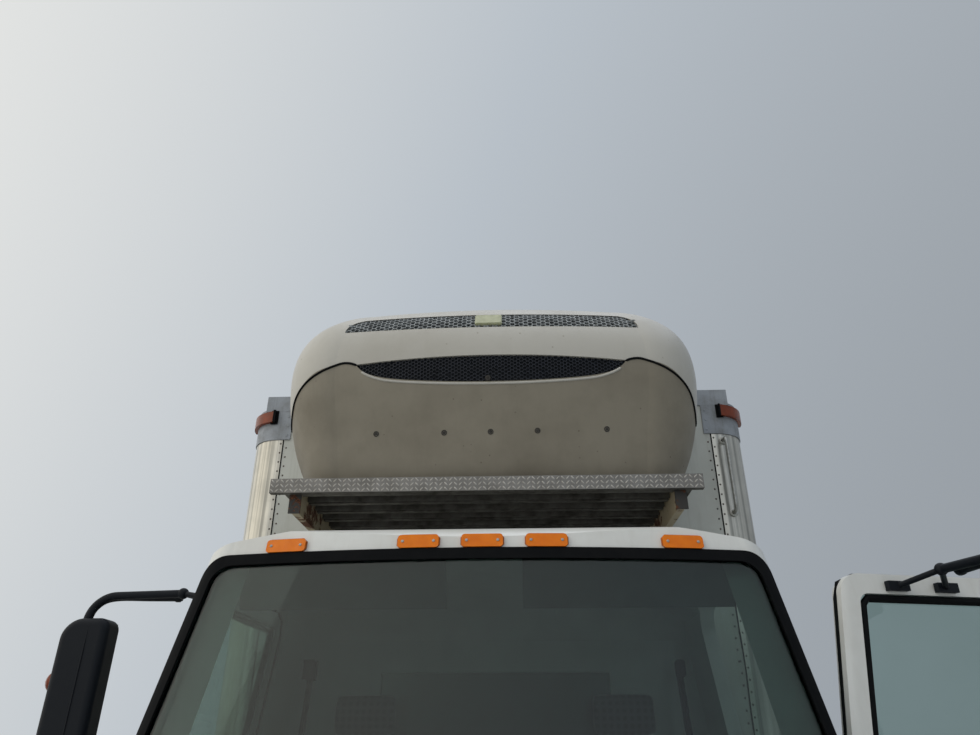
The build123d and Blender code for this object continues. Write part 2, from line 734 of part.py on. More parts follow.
door_bottom = box_floor_top + rear_door_gap
door_top = rear_opening_top - rear_door_gap
for side, name in ((1, "left"), (-1, "right")):
    edge = rear_opening_half - rear_door_gap
    with BuildPart() as rear_door:
        with Locations((side * (edge + rear_door_gap / 2) / 2,
                        box_rear + door_proud - rear_door_thickness / 2,
                        (door_bottom + door_top) / 2)):
            Box(edge - rear_door_gap / 2, rear_door_thickness, door_top - door_bottom)
        for z in rear_hinge_z:
            with BuildSketch(Plane.XY.offset(z - barrel_half)):
                strap_y = box_rear + door_proud
                with BuildLine():
                    Polyline((side * (edge - 190), strap_y - 1), (side * (hinge_pin_x + 6), strap_y),
                             (side * (hinge_pin_x + 6), hinge_pin_y), (side * (hinge_pin_x - 6), hinge_pin_y),
                             (side * (hinge_pin_x - 6), strap_y + strap_thickness),
                             (side * (edge - 190), strap_y + strap_thickness), close=True)
                make_face()
                with Locations((side * hinge_pin_x, hinge_pin_y)):
                    Circle(barrel_radius)
                with Locations((side * hinge_pin_x, hinge_pin_y)):
                    Circle(pin_radius + bore_clearance, mode=Mode.SUBTRACT)
            extrude(amount=2 * barrel_half)
        rod_x = side * rod_inset
        with Locations((rod_x, box_rear + door_proud + rod_proud, (door_bottom + door_top) / 2)):
            Cylinder(rod_radius, door_top - door_bottom - 20)
        for z in (door_bottom + 60, 1700.0, 2300.0, door_top - 60):
            with Locations((rod_x, box_rear + door_proud + rod_proud / 2, z)):
                Box(50, rod_proud + 8, 50)
        with Locations((rod_x + side * 110, box_rear + door_proud + rod_proud, 1560)):
            Box(240, 14, 30)
    keep(rear_door, f"rear_door_{name}")

# Rear bumper, mudguards and lamps
guard_z = 480.0
guard_height = 110.0
with BuildPart() as rear_bumper:
    with BuildSketch(Plane.YZ.offset(-1020)):
        with Locations((frame_rear + 20, guard_z)):
            RectangleRounded(90, guard_height, 14)
    extrude(amount=2040)
    for side in (-1, 1):
        with BuildSketch(Plane.YZ.offset(side * (frame_half_width + 12 + seat_gap) - 12)):
            Polygon((frame_rear - 210, rail_top - 20), (frame_rear - 10, rail_top - 20),
                    (frame_rear + 40, guard_z), (frame_rear - 10, guard_z - 40),
                    (frame_rear - 210, rail_bottom + 10), align=None)
        extrude(amount=24)
keep(rear_bumper, "rear_bumper")

guard_radius = tyre_radius + 66.0
guard_half = 250.0
with BuildPart() as rear_mudguards:
    for side in (-1, 1):
        with BuildSketch(Plane.YZ.offset(side * (rear_track / 2) - guard_half)):
            with Locations((wheelbase, axle_z)):
                Circle(guard_radius)
                Circle(guard_radius - 5, mode=Mode.SUBTRACT)
            with Locations((wheelbase, axle_z - 400 + 130)):
                Rectangle(2 * guard_radius + 20, 800, mode=Mode.SUBTRACT)
        extrude(amount=2 * guard_half)
        for reach in (-210, 210):
            rise = sqrt(guard_radius ** 2 - reach ** 2)
            with Locations((side * (frame_half_width + seat_gap + 95), wheelbase + reach,
                            axle_z + rise - 12)):
                Box(190, 40, 24)
keep(rear_mudguards, "rear_mudguards")

with BuildPart() as rear_lamps:
    for side in (-1, 1):
        with Locations((side * (box_half_width - 48), box_rear + 8 + seat_gap, 1070)):
            Box(80, 16, 90)
        with Locations((side * 740, frame_rear + 20 + 45 + 10 + seat_gap, guard_z)):
            Box(230, 20, 80)
    for number in range(-1, 2):
        with Locations((number * 180, box_rear + 8 + seat_gap, box_top - 60)):
            Box(110, 16, 36)
rear_lamps.part += box_corner_lamps.part
keep(rear_lamps, "box_lamps")

# Cooling unit: a moulded nose, from front, side and plan outlines that cross
unit_back = box_front - unit_mount_gap
# Nose sections: height, half width, set-back of the front face and corner radius
unit_sections = (
    (unit_bottom, unit_half_width - 128, 73.0, 150.0),
    (unit_bottom + 115, unit_half_width - 66, 42.0, 200.0),
    (unit_bottom + 315, unit_half_width - 10, -10.0, 240.0),
    (unit_bottom + 515, unit_half_width, -42.0, 245.0),
    (unit_top - 200, unit_half_width - 30, 18.0, 250.0),
    (unit_top - 80, unit_half_width - 117, 135.0, 220.0),
    (unit_top, unit_half_width - 300, 315.0, 140.0),
)
unit_bow = 42.0


@cache
def unit_hull(inset):
    """The nose's outer form, drawn inset all round; negative values stand proud."""
    with BuildPart() as hull:
        for z, half, set_back, corner in unit_sections:
            level = min(max(z, unit_bottom + inset), unit_top - inset)
            wide = half - inset
            nose = unit_front + set_back + inset
            radius = corner - inset / 2
            slant = radius * (1 - cos(pi / 4))
            side_y = nose + unit_bow + radius
            with BuildSketch(Plane.XY.offset(level)):
                with BuildLine():
                    Polyline((wide, side_y), (wide, unit_back), (-wide, unit_back), (-wide, side_y))
                    ThreePointArc((-wide, side_y), (-wide + slant, nose + unit_bow + slant),
                                  (-wide + radius, nose + unit_bow))
                    ThreePointArc((-wide + radius, nose + unit_bow), (0, nose),
                                  (wide - radius, nose + unit_bow))
                    ThreePointArc((wide - radius, nose + unit_bow),
                                  (wide - slant, nose + unit_bow + slant), (wide, side_y))
                make_face()
        loft()
    return hull


slot_half = 632.0
slot_top = 3328.0
slot_bottom = 3230.0
smile_half = 560.0
smile_tip = 3060.0
smile_top = 3080.0
smile_lower = ((smile_half, smile_tip), (530.0, 3028.0), (475.0, 3004.0), (395.0, 2988.0),
               (290.0, 2977.0), (160.0, 2968.5), (0.0, 2965.5))
grille_recess = 22.0

unit_outer = unit_hull(0.0)
unit_inner = unit_hull(grille_recess)

# Front panel outline in the front view: it follows the nose below and arches over the lower grille
with BuildPart() as panel_prism:
    with BuildSketch(Plane.XZ.offset(-unit_front - 260)):
        with BuildLine():
            Line((-1000, unit_bottom - 40), (1000, unit_bottom - 40))
            Polyline((1000, unit_bottom - 40), (1000, unit_bottom + 200), (866, unit_bottom + 270))
            ThreePointArc((866, unit_bottom + 270), (806, unit_bottom + 405), (660, smile_tip))
            ThreePointArc((660, smile_tip), (606, smile_tip + 14), (smile_half, smile_tip))
            Line((smile_half, smile_tip), (-smile_half, smile_tip))
            ThreePointArc((-smile_half, smile_tip), (-606, smile_tip + 14), (-660, smile_tip))
            ThreePointArc((-660, smile_tip), (-806, unit_bottom + 405), (-866, unit_bottom + 270))
            Polyline((-866, unit_bottom + 270), (-1000, unit_bottom + 200), (-1000, unit_bottom - 40))
        make_face()
    extrude(amount=400)

with BuildPart() as slot_prisms:
    with BuildSketch(Plane.XZ.offset(-unit_front - 200)):
        with BuildLine():
            ThreePointArc((-slot_half + 80, slot_top + 6), (0, slot_top), (slot_half - 80, slot_top + 6))
            ThreePointArc((slot_half - 80, slot_top + 6), (slot_half - 22, slot_bottom + 74),
                          (slot_half, slot_bottom + 10))
            ThreePointArc((slot_half, slot_bottom + 10), (0, slot_bottom), (-slot_half, slot_bottom + 10))
            ThreePointArc((-slot_half, slot_bottom + 10), (-slot_half + 22, slot_bottom + 74),
                          (-slot_half + 80, slot_top + 6))
        make_face()
        with BuildLine():
            ThreePointArc((-smile_half, smile_tip), (0, smile_top), (smile_half, smile_tip))
            Spline(*[(x, z) for x, z in smile_lower], *[(-x, z) for x, z in reversed(smile_lower[:-1])])
        make_face()
    extrude(amount=400)

with BuildPart() as unit_housing:
    add(unit_outer.part)
    add(panel_prism.part & unit_hull(-5.0).part - unit_inner.part, mode=Mode.SUBTRACT)
    add(slot_prisms.part & unit_hull(-5.0).part - unit_inner.part, mode=Mode.SUBTRACT)
keep(unit_housing, "unit_housing")

with BuildPart() as unit_front_panel:
    add((unit_outer.part - unit_hull(grille_recess - seat_gap).part) & panel_prism.part)
    add(slot_prisms.part, mode=Mode.SUBTRACT)
keep(unit_front_panel, "unit_front_panel")

# Grilles lie behind the two slots, on the recessed floor of the nose
grille_thickness = 8.0
with BuildPart() as unit_grilles:
    add(slot_prisms.part & (unit_hull(grille_recess - grille_thickness).part
                            - unit_hull(grille_recess - seat_gap).part))
keep(unit_grilles, "unit_grilles")

# Catwalk: a sheet behind a fascia, with planks of turned-down edges between two arms on the box wall
plank_gap = 6.0
plank_lip = 24.0
plank_depth = (deck_depth - deck_sheet - 40) / deck_ribs
deck_underside = deck_top - deck_fascia
deck_back = deck_depth - 40.0
plank_half = deck_arm_x - deck_arm_width / 2 - 4.0
with BuildPart() as catwalk_deck:
    with BuildSketch(Plane.YZ.offset(deck_offset - deck_half_width)):
        with Locations((deck_front + deck_sheet / 2, deck_top - deck_fascia / 2)):
            Rectangle(deck_sheet, deck_fascia)
        with Locations((deck_front + deck_back / 2, deck_top - deck_sheet / 2)):
            Rectangle(deck_back, deck_sheet)
        with Locations((deck_front + 14, deck_underside + deck_sheet / 2)):
            Rectangle(28, deck_sheet)
    extrude(amount=2 * deck_half_width)
    with BuildSketch(Plane.YZ.offset(deck_arm_offset - plank_half)):
        for number in range(deck_ribs):
            start = deck_front + 2 * deck_sheet + number * plank_depth
            for y in (start + 24, start + plank_depth - plank_gap):
                with Locations((y, deck_top - deck_fascia / 2)):
                    Rectangle(deck_sheet, deck_fascia)
            with Locations((start + 24 + plank_lip / 2, deck_underside + deck_sheet / 2)):
                Rectangle(plank_lip, deck_sheet)
    extrude(amount=2 * plank_half)
keep(catwalk_deck, "catwalk_deck")

arm_top = deck_top - deck_sheet - seat_gap
arm_nose = deck_front + 40.0
arm_sheet = 6.0
arm_mid_z = arm_top - deck_arm_depth / 2
with BuildPart() as catwalk_arms:
    for side in (-1, 1):
        x = deck_arm_offset + side * deck_arm_x
        with Locations((x, (arm_nose + unit_back) / 2, arm_mid_z)):
            Box(deck_arm_width, unit_back - arm_nose, deck_arm_depth)
        with Locations((x + side * arm_sheet, (arm_nose + unit_back) / 2, arm_mid_z)):
            Box(deck_arm_width, unit_back - arm_nose - 2 * arm_sheet, deck_arm_depth - 2 * arm_sheet,
                mode=Mode.SUBTRACT)
        with Locations((x + side * 5, arm_nose - arm_sheet / 2, arm_mid_z)):
            Box(deck_arm_width + 18, arm_sheet, deck_arm_depth)
        with Locations((x, unit_back - 4, arm_mid_z)):
            Box(110, 8, deck_arm_depth + 20)
keep(catwalk_arms, "catwalk_arms")

# Cab shell sections: height, half width and front face at the centreline
cab_low = 560.0
cab_high = 2330.0
cab_sections = (
    (cab_low, cab_half_width, nose_y),
    (belt_height, cab_half_width, screen_base_y),
    (cab_high, cab_half_width - side_lean * (cab_high - belt_height),
     screen_base_y + screen_lean * (cab_high - belt_height)),
)


@cache
def cab_hull(inset, bottom):
    """The cab's closed outer form, drawn inset all round, down to the given height."""
    top = roof_height - inset
    back = cab_back - inset
    with BuildPart() as hull:
        for z, half, front in cab_sections:
            reach = half - inset
            nose = front + inset
            corner = cab_corner - inset / 2
            slant = 0.293 * corner
            start_y = nose + front_bow + corner
            with BuildSketch(Plane.XY.offset(z)):
                with BuildLine():
                    Polyline((reach, start_y), (reach, back), (-reach, back), (-reach, start_y))
                    ThreePointArc((-reach, start_y), (-reach + slant, nose + front_bow + slant),
                                  (-reach + corner, nose + front_bow))
                    ThreePointArc((-reach + corner, nose + front_bow), (0, nose),
                                  (reach - corner, nose + front_bow))
                    ThreePointArc((reach - corner, nose + front_bow),
                                  (reach - slant, nose + front_bow + slant), (reach, start_y))
                make_face()
        loft(ruled=True)
        with BuildSketch(Plane.XZ.offset(1300)):
            with BuildLine():
                Polyline((-1100, top - 150), (-1100, bottom), (1100, bottom), (1100, top - 150),
                         (850 - inset, top - 150))
                ThreePointArc((850 - inset, top - 150), (788 - inset, top - 88), (690 - inset, top - 56))
                ThreePointArc((690 - inset, top - 56), (0, top), (-690 + inset, top - 56))
                ThreePointArc((-690 + inset, top - 56), (-788 + inset, top - 88), (-850 + inset, top - 150))
                Line((-850 + inset, top - 150), (-1100, top - 150))
            make_face()
        extrude(amount=-1800, mode=Mode.INTERSECT)
        with BuildSketch(Plane.YZ.offset(-1100)):
            with BuildLine():
                Polyline((back, top - 165), (back, bottom), (-1300, bottom), (-1300, top - 110),
                         (-812 + inset, top - 110))
                ThreePointArc((-812 + inset, top - 110), (-772 + inset, top - 59), (-640 + inset, top - 30))
                ThreePointArc((-640 + inset, top - 30), (-240, top), (150 - inset, top - 6))
                ThreePointArc((150 - inset, top - 6), (330 - inset, top - 70), (back, top - 165))
            make_face()
        extrude(amount=2200, mode=Mode.INTERSECT)
    return hull


def cab_layer(outside, inside, region):
    """The layer of the cab between two insets, kept where the region is."""
    return (region & cab_hull(outside, cab_low).part) - cab_hull(inside, cab_low).part


def door_outline(grow):
    """Side-view outline of a door, drawn larger by grow all round."""
    sill_y = -sqrt(arch_radius ** 2 - (door_sill - axle_z) ** 2)
    mid_z = cab_floor_bottom - 60
    mid_y = -sqrt(arch_radius ** 2 - (mid_z - axle_z) ** 2)
    head_y = door_front + screen_lean * (door_head - 60 - door_knee)
    with BuildSketch(Plane.YZ) as outline:
        with BuildLine():
            Polyline((0, axle_z + arch_radius), (door_rear, axle_z + arch_radius),
                     (door_rear, door_head - 80))
            ThreePointArc((door_rear, door_head - 80), (door_rear - 24, door_head - 24),
                          (door_rear - 80, door_head))
            Line((door_rear - 80, door_head), (head_y + 80, door_head))
            ThreePointArc((head_y + 80, door_head), (head_y + 22, door_head - 20), (head_y, door_head - 60))
            Polyline((head_y, door_head - 60), (door_front, door_knee), (door_front, door_sill),
                     (sill_y, door_sill))
            ThreePointArc((sill_y, door_sill), (mid_y, mid_z), (0, axle_z + arch_radius))
        make_face()
        if grow:
            offset(amount=grow, kind=Kind.INTERSECTION)
    return outline.sketch


door_front = hinge_y + door_gap
shell_outer = cab_hull(0.0, cab_low)
shell_inner = cab_hull(skin, cab_floor_top)

with BuildPart() as door_prism:
    add(extrude(door_outline(0.0), amount=1100, both=True))
with BuildPart() as door_cut:
    add(extrude(door_outline(door_gap), amount=1100, both=True))
with BuildPart() as window_prism:
    with BuildSketch(Plane.YZ) as window_sketch:
        with BuildLine():
            frame_top = door_head - window_frame
            lean_y = door_front + window_frame + screen_lean * (frame_top - door_knee)
            Polyline((door_rear - window_frame, window_base), (door_rear - window_frame, frame_top),
                     (lean_y, frame_top), (door_front + window_frame, door_knee),
                     (door_front + window_frame, window_base), close=True)
        make_face()
        fillet(window_sketch.vertices(), radius=34)
    extrude(amount=1100, both=True)


def screen_outline(shrink):
    """Front-view outline of the windscreen opening; shrink 0 is the gasket's outer edge."""
    low = gasket_base + shrink
    high = gasket_top - shrink
    half_low = gasket_half_base - shrink
    half_high = gasket_half_base - gasket_lean * (gasket_top - belt_height) - shrink
    with BuildSketch(Plane.XZ.offset(1250)) as outline:
        with BuildLine():
            Polyline((-half_low, low), (half_low, low), (half_high, high), (-half_high, high), close=True)
        make_face()
        fillet(outline.vertices(), radius=screen_corner - shrink / 2)
    return extrude(outline.sketch, amount=-750)


with BuildPart() as screen_reach:
    with BuildSketch(Plane.YZ):
        wrap_low = screen_base_y + front_bow + gasket_wrap - 130 * screen_lean
        wrap_high = wrap_low + screen_lean * 1130
        Polygon((-1300, belt_height - 130), (wrap_low, belt_height - 130),
                (wrap_high, belt_height + 1000), (-1300, belt_height + 1000), align=None)
    extrude(amount=1100, both=True)
screen_cut = screen_outline(-seat_gap) & screen_reach.part
tunnel_outer = tunnel_half_width + tunnel_wall
tunnel_front = -670.0
panel_skin = 25.0
panel_top = 1316.0
panel_half = 840.0
rear_window_half = 455.0
rear_window_base = 1450.0
rear_window_top = 1905.0
well_front = -778.0
well_back = -480.0
well_wall = 12.0
well_inner = 640.0
lug_gap = 4.0
lug_width = 28.0
bracket_width = 30.0
bracket_x = frame_half_width + seat_gap + bracket_width / 2

with BuildPart() as front_region:
    with Locations((0, -1100, (front_skirt + panel_top) / 2)):
        Box(2 * panel_half, 440, panel_top - front_skirt)
front_skin = cab_layer(0.0, panel_skin, front_region.part)

with BuildPart() as cab_body:
    add(shell_outer.part - shell_inner.part)
    with Locations((0, (tunnel_front - tunnel_wall + cab_back) / 2,
                    (cab_floor_bottom + tunnel_top + tunnel_wall) / 2)):
        Box(2 * tunnel_outer, cab_back - tunnel_front + tunnel_wall,
            tunnel_top + tunnel_wall - cab_floor_bottom)
    with Locations((0, -500, (cab_low + cab_floor_bottom) / 2 - 20)):
        Box(3000, 2200, cab_floor_bottom - cab_low + 40, mode=Mode.SUBTRACT)
    for side in (-1, 1):
        outer_wall = cab_half_width - skin - 2 * door_gap
        with Locations((side * (well_inner - well_wall + outer_wall) / 2, (well_front + well_back) / 2,
                        (door_sill + cab_floor_bottom) / 2 + 10)):
            Box(outer_wall - well_inner + well_wall, well_back - well_front + 2 * well_wall,
                cab_floor_bottom - door_sill + 20)
        with Locations((side * (well_inner + 200), (well_front + well_back) / 2,
                        door_sill + well_wall + 300)):
            Box(400, well_back - well_front, 600, mode=Mode.SUBTRACT)
    add(door_cut.part, mode=Mode.SUBTRACT)
    add(screen_cut, mode=Mode.SUBTRACT)
    add(front_skin, mode=Mode.SUBTRACT)
    with Locations((0, cab_back, (rear_window_base + rear_window_top) / 2)):
        Box(2 * rear_window_half, 4 * skin, rear_window_top - rear_window_base, mode=Mode.SUBTRACT)
    with Locations((0, (tunnel_front + cab_back + 20) / 2, (cab_floor_bottom + tunnel_top) / 2 - 30)):
        Box(2 * tunnel_half_width, cab_back + 20 - tunnel_front, tunnel_top - cab_floor_bottom + 60,
            mode=Mode.SUBTRACT)
    split(bisect_by=Plane.XY.offset(eave_height), keep=Keep.BOTTOM)
    for side in (-1, 1):
        for reach in (-1, 1):
            lug_x = side * (bracket_x + reach * (bracket_width / 2 + lug_gap + lug_width / 2))
            with BuildSketch(Plane.YZ.offset(lug_x - lug_width / 2)):
                with Locations((pivot_y, pivot_z)):
                    Circle(2 * pivot_radius)
                Polygon((pivot_y - 60, cab_floor_bottom + 10), (pivot_y + 80, cab_floor_bottom + 10),
                        (pivot_y + 30, pivot_z - 8), (pivot_y - 30, pivot_z - 8), align=None)
            extrude(amount=lug_width)
        with Locations(Location((side * bracket_x, pivot_y, pivot_z), (0, 90, 0))):
            Cylinder(pivot_radius, bracket_width + 2 * lug_gap + 2 * lug_width)
        for z in door_hinge_z:
            for level in (-1, 1):
                barrel_z = z + level * (door_barrel_half * 1.5 + 2)
                with Locations((side * hinge_x, hinge_y, barrel_z)):
                    Cylinder(door_barrel, door_barrel_half)
                with Locations((side * (cab_half_width + leaf_thickness / 2 - 2), hinge_y - 30, barrel_z)):
                    Box(leaf_thickness + 4, 60, door_barrel_half)
            with Locations((side * hinge_x, hinge_y, z)):
                Cylinder(door_pin, 2 * door_barrel_half + 8)
keep(cab_body, "cab_body")

with BuildPart() as cab_roof:
    add(shell_outer.part - shell_inner.part)
    split(bisect_by=Plane.XY.offset(eave_height), keep=Keep.TOP)
keep(cab_roof, "cab_roof")

# Chassis side of the tilt hinge, and the rear rests under the cab floor
rest_height = 34.0
with BuildPart() as cab_mounts:
    for side in (-1, 1):
        with BuildSketch(Plane.YZ.offset(side * bracket_x - bracket_width / 2)):
            with Locations((pivot_y, pivot_z)):
                Circle(2 * pivot_radius + 4)
            Polygon((pivot_y, pivot_z + 36), (frame_front + 160, rail_top - 20),
                    (frame_front + 160, rail_bottom + 20), (pivot_y, pivot_z - 36), align=None)
            with Locations((pivot_y, pivot_z)):
                Circle(pivot_radius + bore_clearance, mode=Mode.SUBTRACT)
        extrude(amount=bracket_width)
        with BuildSketch(Plane.XY.offset(rail_top)):
            with Locations((side * (spring_x + 20), cab_back - 60)):
                RectangleRounded(80, 80, 12)
        extrude(amount=rest_height - seat_gap)

# Front panel with its grille slot and the two lamp bays
grille_half = 430.0
grille_low = 1020.0
grille_high = 1180.0
bay_in = 520.0
bay_out = 800.0
bay_low = 830.0
bay_high = 980.0
with BuildPart() as bay_prisms:
    with BuildSketch(Plane.XZ.offset(700)):
        for side in (-1, 1):
            with Locations((side * (bay_in + bay_out) / 2, (bay_low + bay_high) / 2)):
                RectangleRounded(bay_out - bay_in, bay_high - bay_low, 24)
    extrude(amount=500)
with BuildPart() as grille_prism:
    with BuildSketch(Plane.XZ.offset(700)):
        with Locations((0, (grille_low + grille_high) / 2)):
            RectangleRounded(2 * grille_half, grille_high - grille_low, 30)
    extrude(amount=500)

with BuildPart() as cab_front_panel:
    add(front_skin)
    add(bay_prisms.part, mode=Mode.SUBTRACT)
    add(grille_prism.part, mode=Mode.SUBTRACT)
keep(cab_front_panel, "cab_front_panel")

lamp_proud_front = 4.0
bay_blocks = offset(bay_prisms.part, amount=-seat_gap, kind=Kind.INTERSECTION)
with BuildPart() as headlamps:
    add(cab_layer(-lamp_proud_front, panel_skin, bay_blocks))
keep(headlamps, "headlamps")

grille_bars = 4
grille_back = 8.0
grille_block = offset(grille_prism.part, amount=-seat_gap, kind=Kind.INTERSECTION)
with BuildPart() as front_grille:
    add(cab_layer(-lamp_proud_front, panel_skin, grille_block))
    pitch = (grille_high - grille_low - 20) / grille_bars
    for number in range(grille_bars):
        with Locations((0, -1100, grille_low + 10 + pitch * (number + 0.5))):
            Box(2 * grille_half - 60, 240, pitch - 16, mode=Mode.SUBTRACT)
    add(cab_layer(panel_skin - grille_back, panel_skin, grille_block))
keep(front_grille, "front_grille")

# Windscreen in its rubber gasket
gasket_ring = (screen_outline(0.0) - screen_outline(gasket_width)) & screen_reach.part
with BuildPart() as windscreen_gasket:
    add(cab_layer(-gasket_proud, gasket_depth, gasket_ring))
keep(windscreen_gasket, "windscreen_gasket")

glass_region = screen_outline(gasket_width + seat_gap) & screen_reach.part
with BuildPart() as cab_glass:
    add(cab_layer(0.0, glass_thickness, glass_region))
    with BuildSketch(Plane.XZ.offset(-cab_back + 20)):
        with Locations((0, (rear_window_base + rear_window_top) / 2)):
            Rectangle(2 * (rear_window_half - seat_gap), rear_window_top - rear_window_base - 2 * seat_gap)
    extrude(amount=glass_thickness)
keep(cab_glass, "cab_glass")

# Clearance lamps in a row along the roof's front lip
roof_lamp_x = (-555.0, -177.0, 0.0, 177.0, 555.0)
roof_lamp_z = 2153.0
roof_lamp_size = (114.0, 37.0)
roof_lamp_proud = 12.0
with BuildPart() as roof_lamps:
    with BuildSketch(Plane.XZ.offset(500)):
        for x in roof_lamp_x:
            with Locations((x, roof_lamp_z)):
                RectangleRounded(*roof_lamp_size, 9)
    extrude(amount=500)
    add(cab_hull(-roof_lamp_proud, cab_low).part, mode=Mode.INTERSECT)
    add(shell_outer.part, mode=Mode.SUBTRACT)
keep(roof_lamps, "roof_lamps")

# Inside the cab
seat_x = 478.0
seat_width = 400.0
with BuildPart() as dashboard:
    with BuildSketch(Plane.YZ.offset(-900)):
        with BuildLine():
            Polyline((-1000, 1290), (-1000, 1180), (-700, 1180), (-610, 1220))
            ThreePointArc((-610, 1220), (-592, 1270), (-640, 1316))
            Polyline((-640, 1316), (-800, 1322), (-1000, 1290))
        make_face()
    extrude(amount=1800)
    add(cab_hull(skin, cab_floor_top).part, mode=Mode.INTERSECT)
    with Locations((0, -700, 1160)):
        Box(2 * tunnel_outer, 110, 60)

wheel_rim_radius = 215.0
wheel_plane = Plane(origin=(seat_x, -565, 1405), x_dir=(1, 0, 0), z_dir=(0, 0.62, 0.79))
with BuildPart() as steering_wheel:
    with BuildSketch(Plane(origin=wheel_plane.origin, x_dir=wheel_plane.x_dir, z_dir=wheel_plane.y_dir)):
        with Locations((wheel_rim_radius, 0)):
            Circle(15)
    revolve(axis=Axis(wheel_plane.origin, wheel_plane.z_dir))
    with Locations(wheel_plane):
        Cylinder(58, 34)
        for angle in (0, 120, 240):
            with Locations(Location((0, 0, 0), (0, 0, angle + 90))):
                with Locations((wheel_rim_radius / 2, 0, 0)):
                    Box(wheel_rim_radius, 34, 12)
        Cylinder(26, 175, align=(Align.CENTER, Align.CENTER, Align.MAX))
dashboard.part += steering_wheel.part
keep(dashboard, "dashboard")

with BuildPart() as seats:
    for side in (-1, 1):
        x = side * seat_x
        with Locations((x, -80, (cab_floor_top + 1150) / 2 + seat_gap)):
            Box(2 * (seat_x - tunnel_outer - 8), 380, 1150 - cab_floor_top)
        with BuildSketch(Plane.YZ.offset(x - seat_width / 2)):
            with BuildLine():
                Polyline((-330, 1180), (-330, 1250), (-270, 1285), (60, 1262), (150, 1660), (172, 1690))
                ThreePointArc((172, 1690), (215, 1700), (238, 1670))
                Polyline((238, 1670), (180, 1240), (150, 1150), (-290, 1150), (-330, 1180))
            make_face()
        extrude(amount=seat_width)
        fillet(seats.edges().filter_by(lambda e: e.geom_type == GeomType.LINE and e.length > 150
                                       and abs(e.tangent_at(0).X) < 0.1
                                       and abs(abs(e.center().X - x) - seat_width / 2) < 1
                                       and e.center().Z > 1180), radius=26)
        with Locations((x, 205, 1745)):
            Box(245, 95, 165)
        with Locations((x, 205, 1675)):
            Box(110, 22, 60)
keep(seats, "seats")

with BuildPart() as sun_visors:
    for side in (-1, 1):
        with Locations(Location((side * 410, -640, 2070), (-62, 0, 0))):
            Box(600, 150, 20)
        for x in (side * 150, side * 670):
            with Locations((x, -600, 2140)):
                Cylinder(7, 140)
    add(cab_hull(skin, cab_floor_top).part, mode=Mode.INTERSECT)
keep(sun_visors, "sun_visors")

# Boarding steps on the chassis ahead of the front wheels
step_z = 420.0
step_bracket_y = (-545.0, -500.0)
with BuildPart() as cab_steps:
    for side in (-1, 1):
        with Locations((side * 765, -640, step_z)):
            Box(240, 250, 28)
        for y in step_bracket_y:
            with BuildSketch(Plane.XZ.offset(-y - 6)):
                Polygon((side * (frame_half_width + seat_gap), rail_bottom + 30),
                        (side * (frame_half_width + seat_gap), rail_bottom + 130),
                        (side * (frame_half_width + 60), rail_bottom + 60),
                        (side * 700, step_z + 10), (side * 700, step_z - 12), align=None)
            extrude(amount=12)
        with Locations((side * 675, -570, step_z)):
            Box(70, 160, 24)
cab_mounts.part += cab_steps.part
keep(cab_mounts, "cab_mounts_and_steps")

# Cab doors: modelled shut, then the left one is swung open about its hinge pins
mirror_clamp = (950.0, -470.0, 2074.0)
mirror_route = (mirror_clamp, (1228.0, -485.0, 2064.0), (1228.0, -490.0, 1500.0), (930.0, -560.0, 1290.0))
mirror_bend = 78.0
mirror_tube = 12.0
pad_y = (-516.0, -358.0)
pad_z = 2050.0
head_inner = 1139.0
head_outer = 1284.0
head_back = -453.0
head_depth = 74.0
head_low = 1593.0
head_high = 1997.0
head_shoulder = 62.0
head_corner = 34.0
head_edge = 22.0

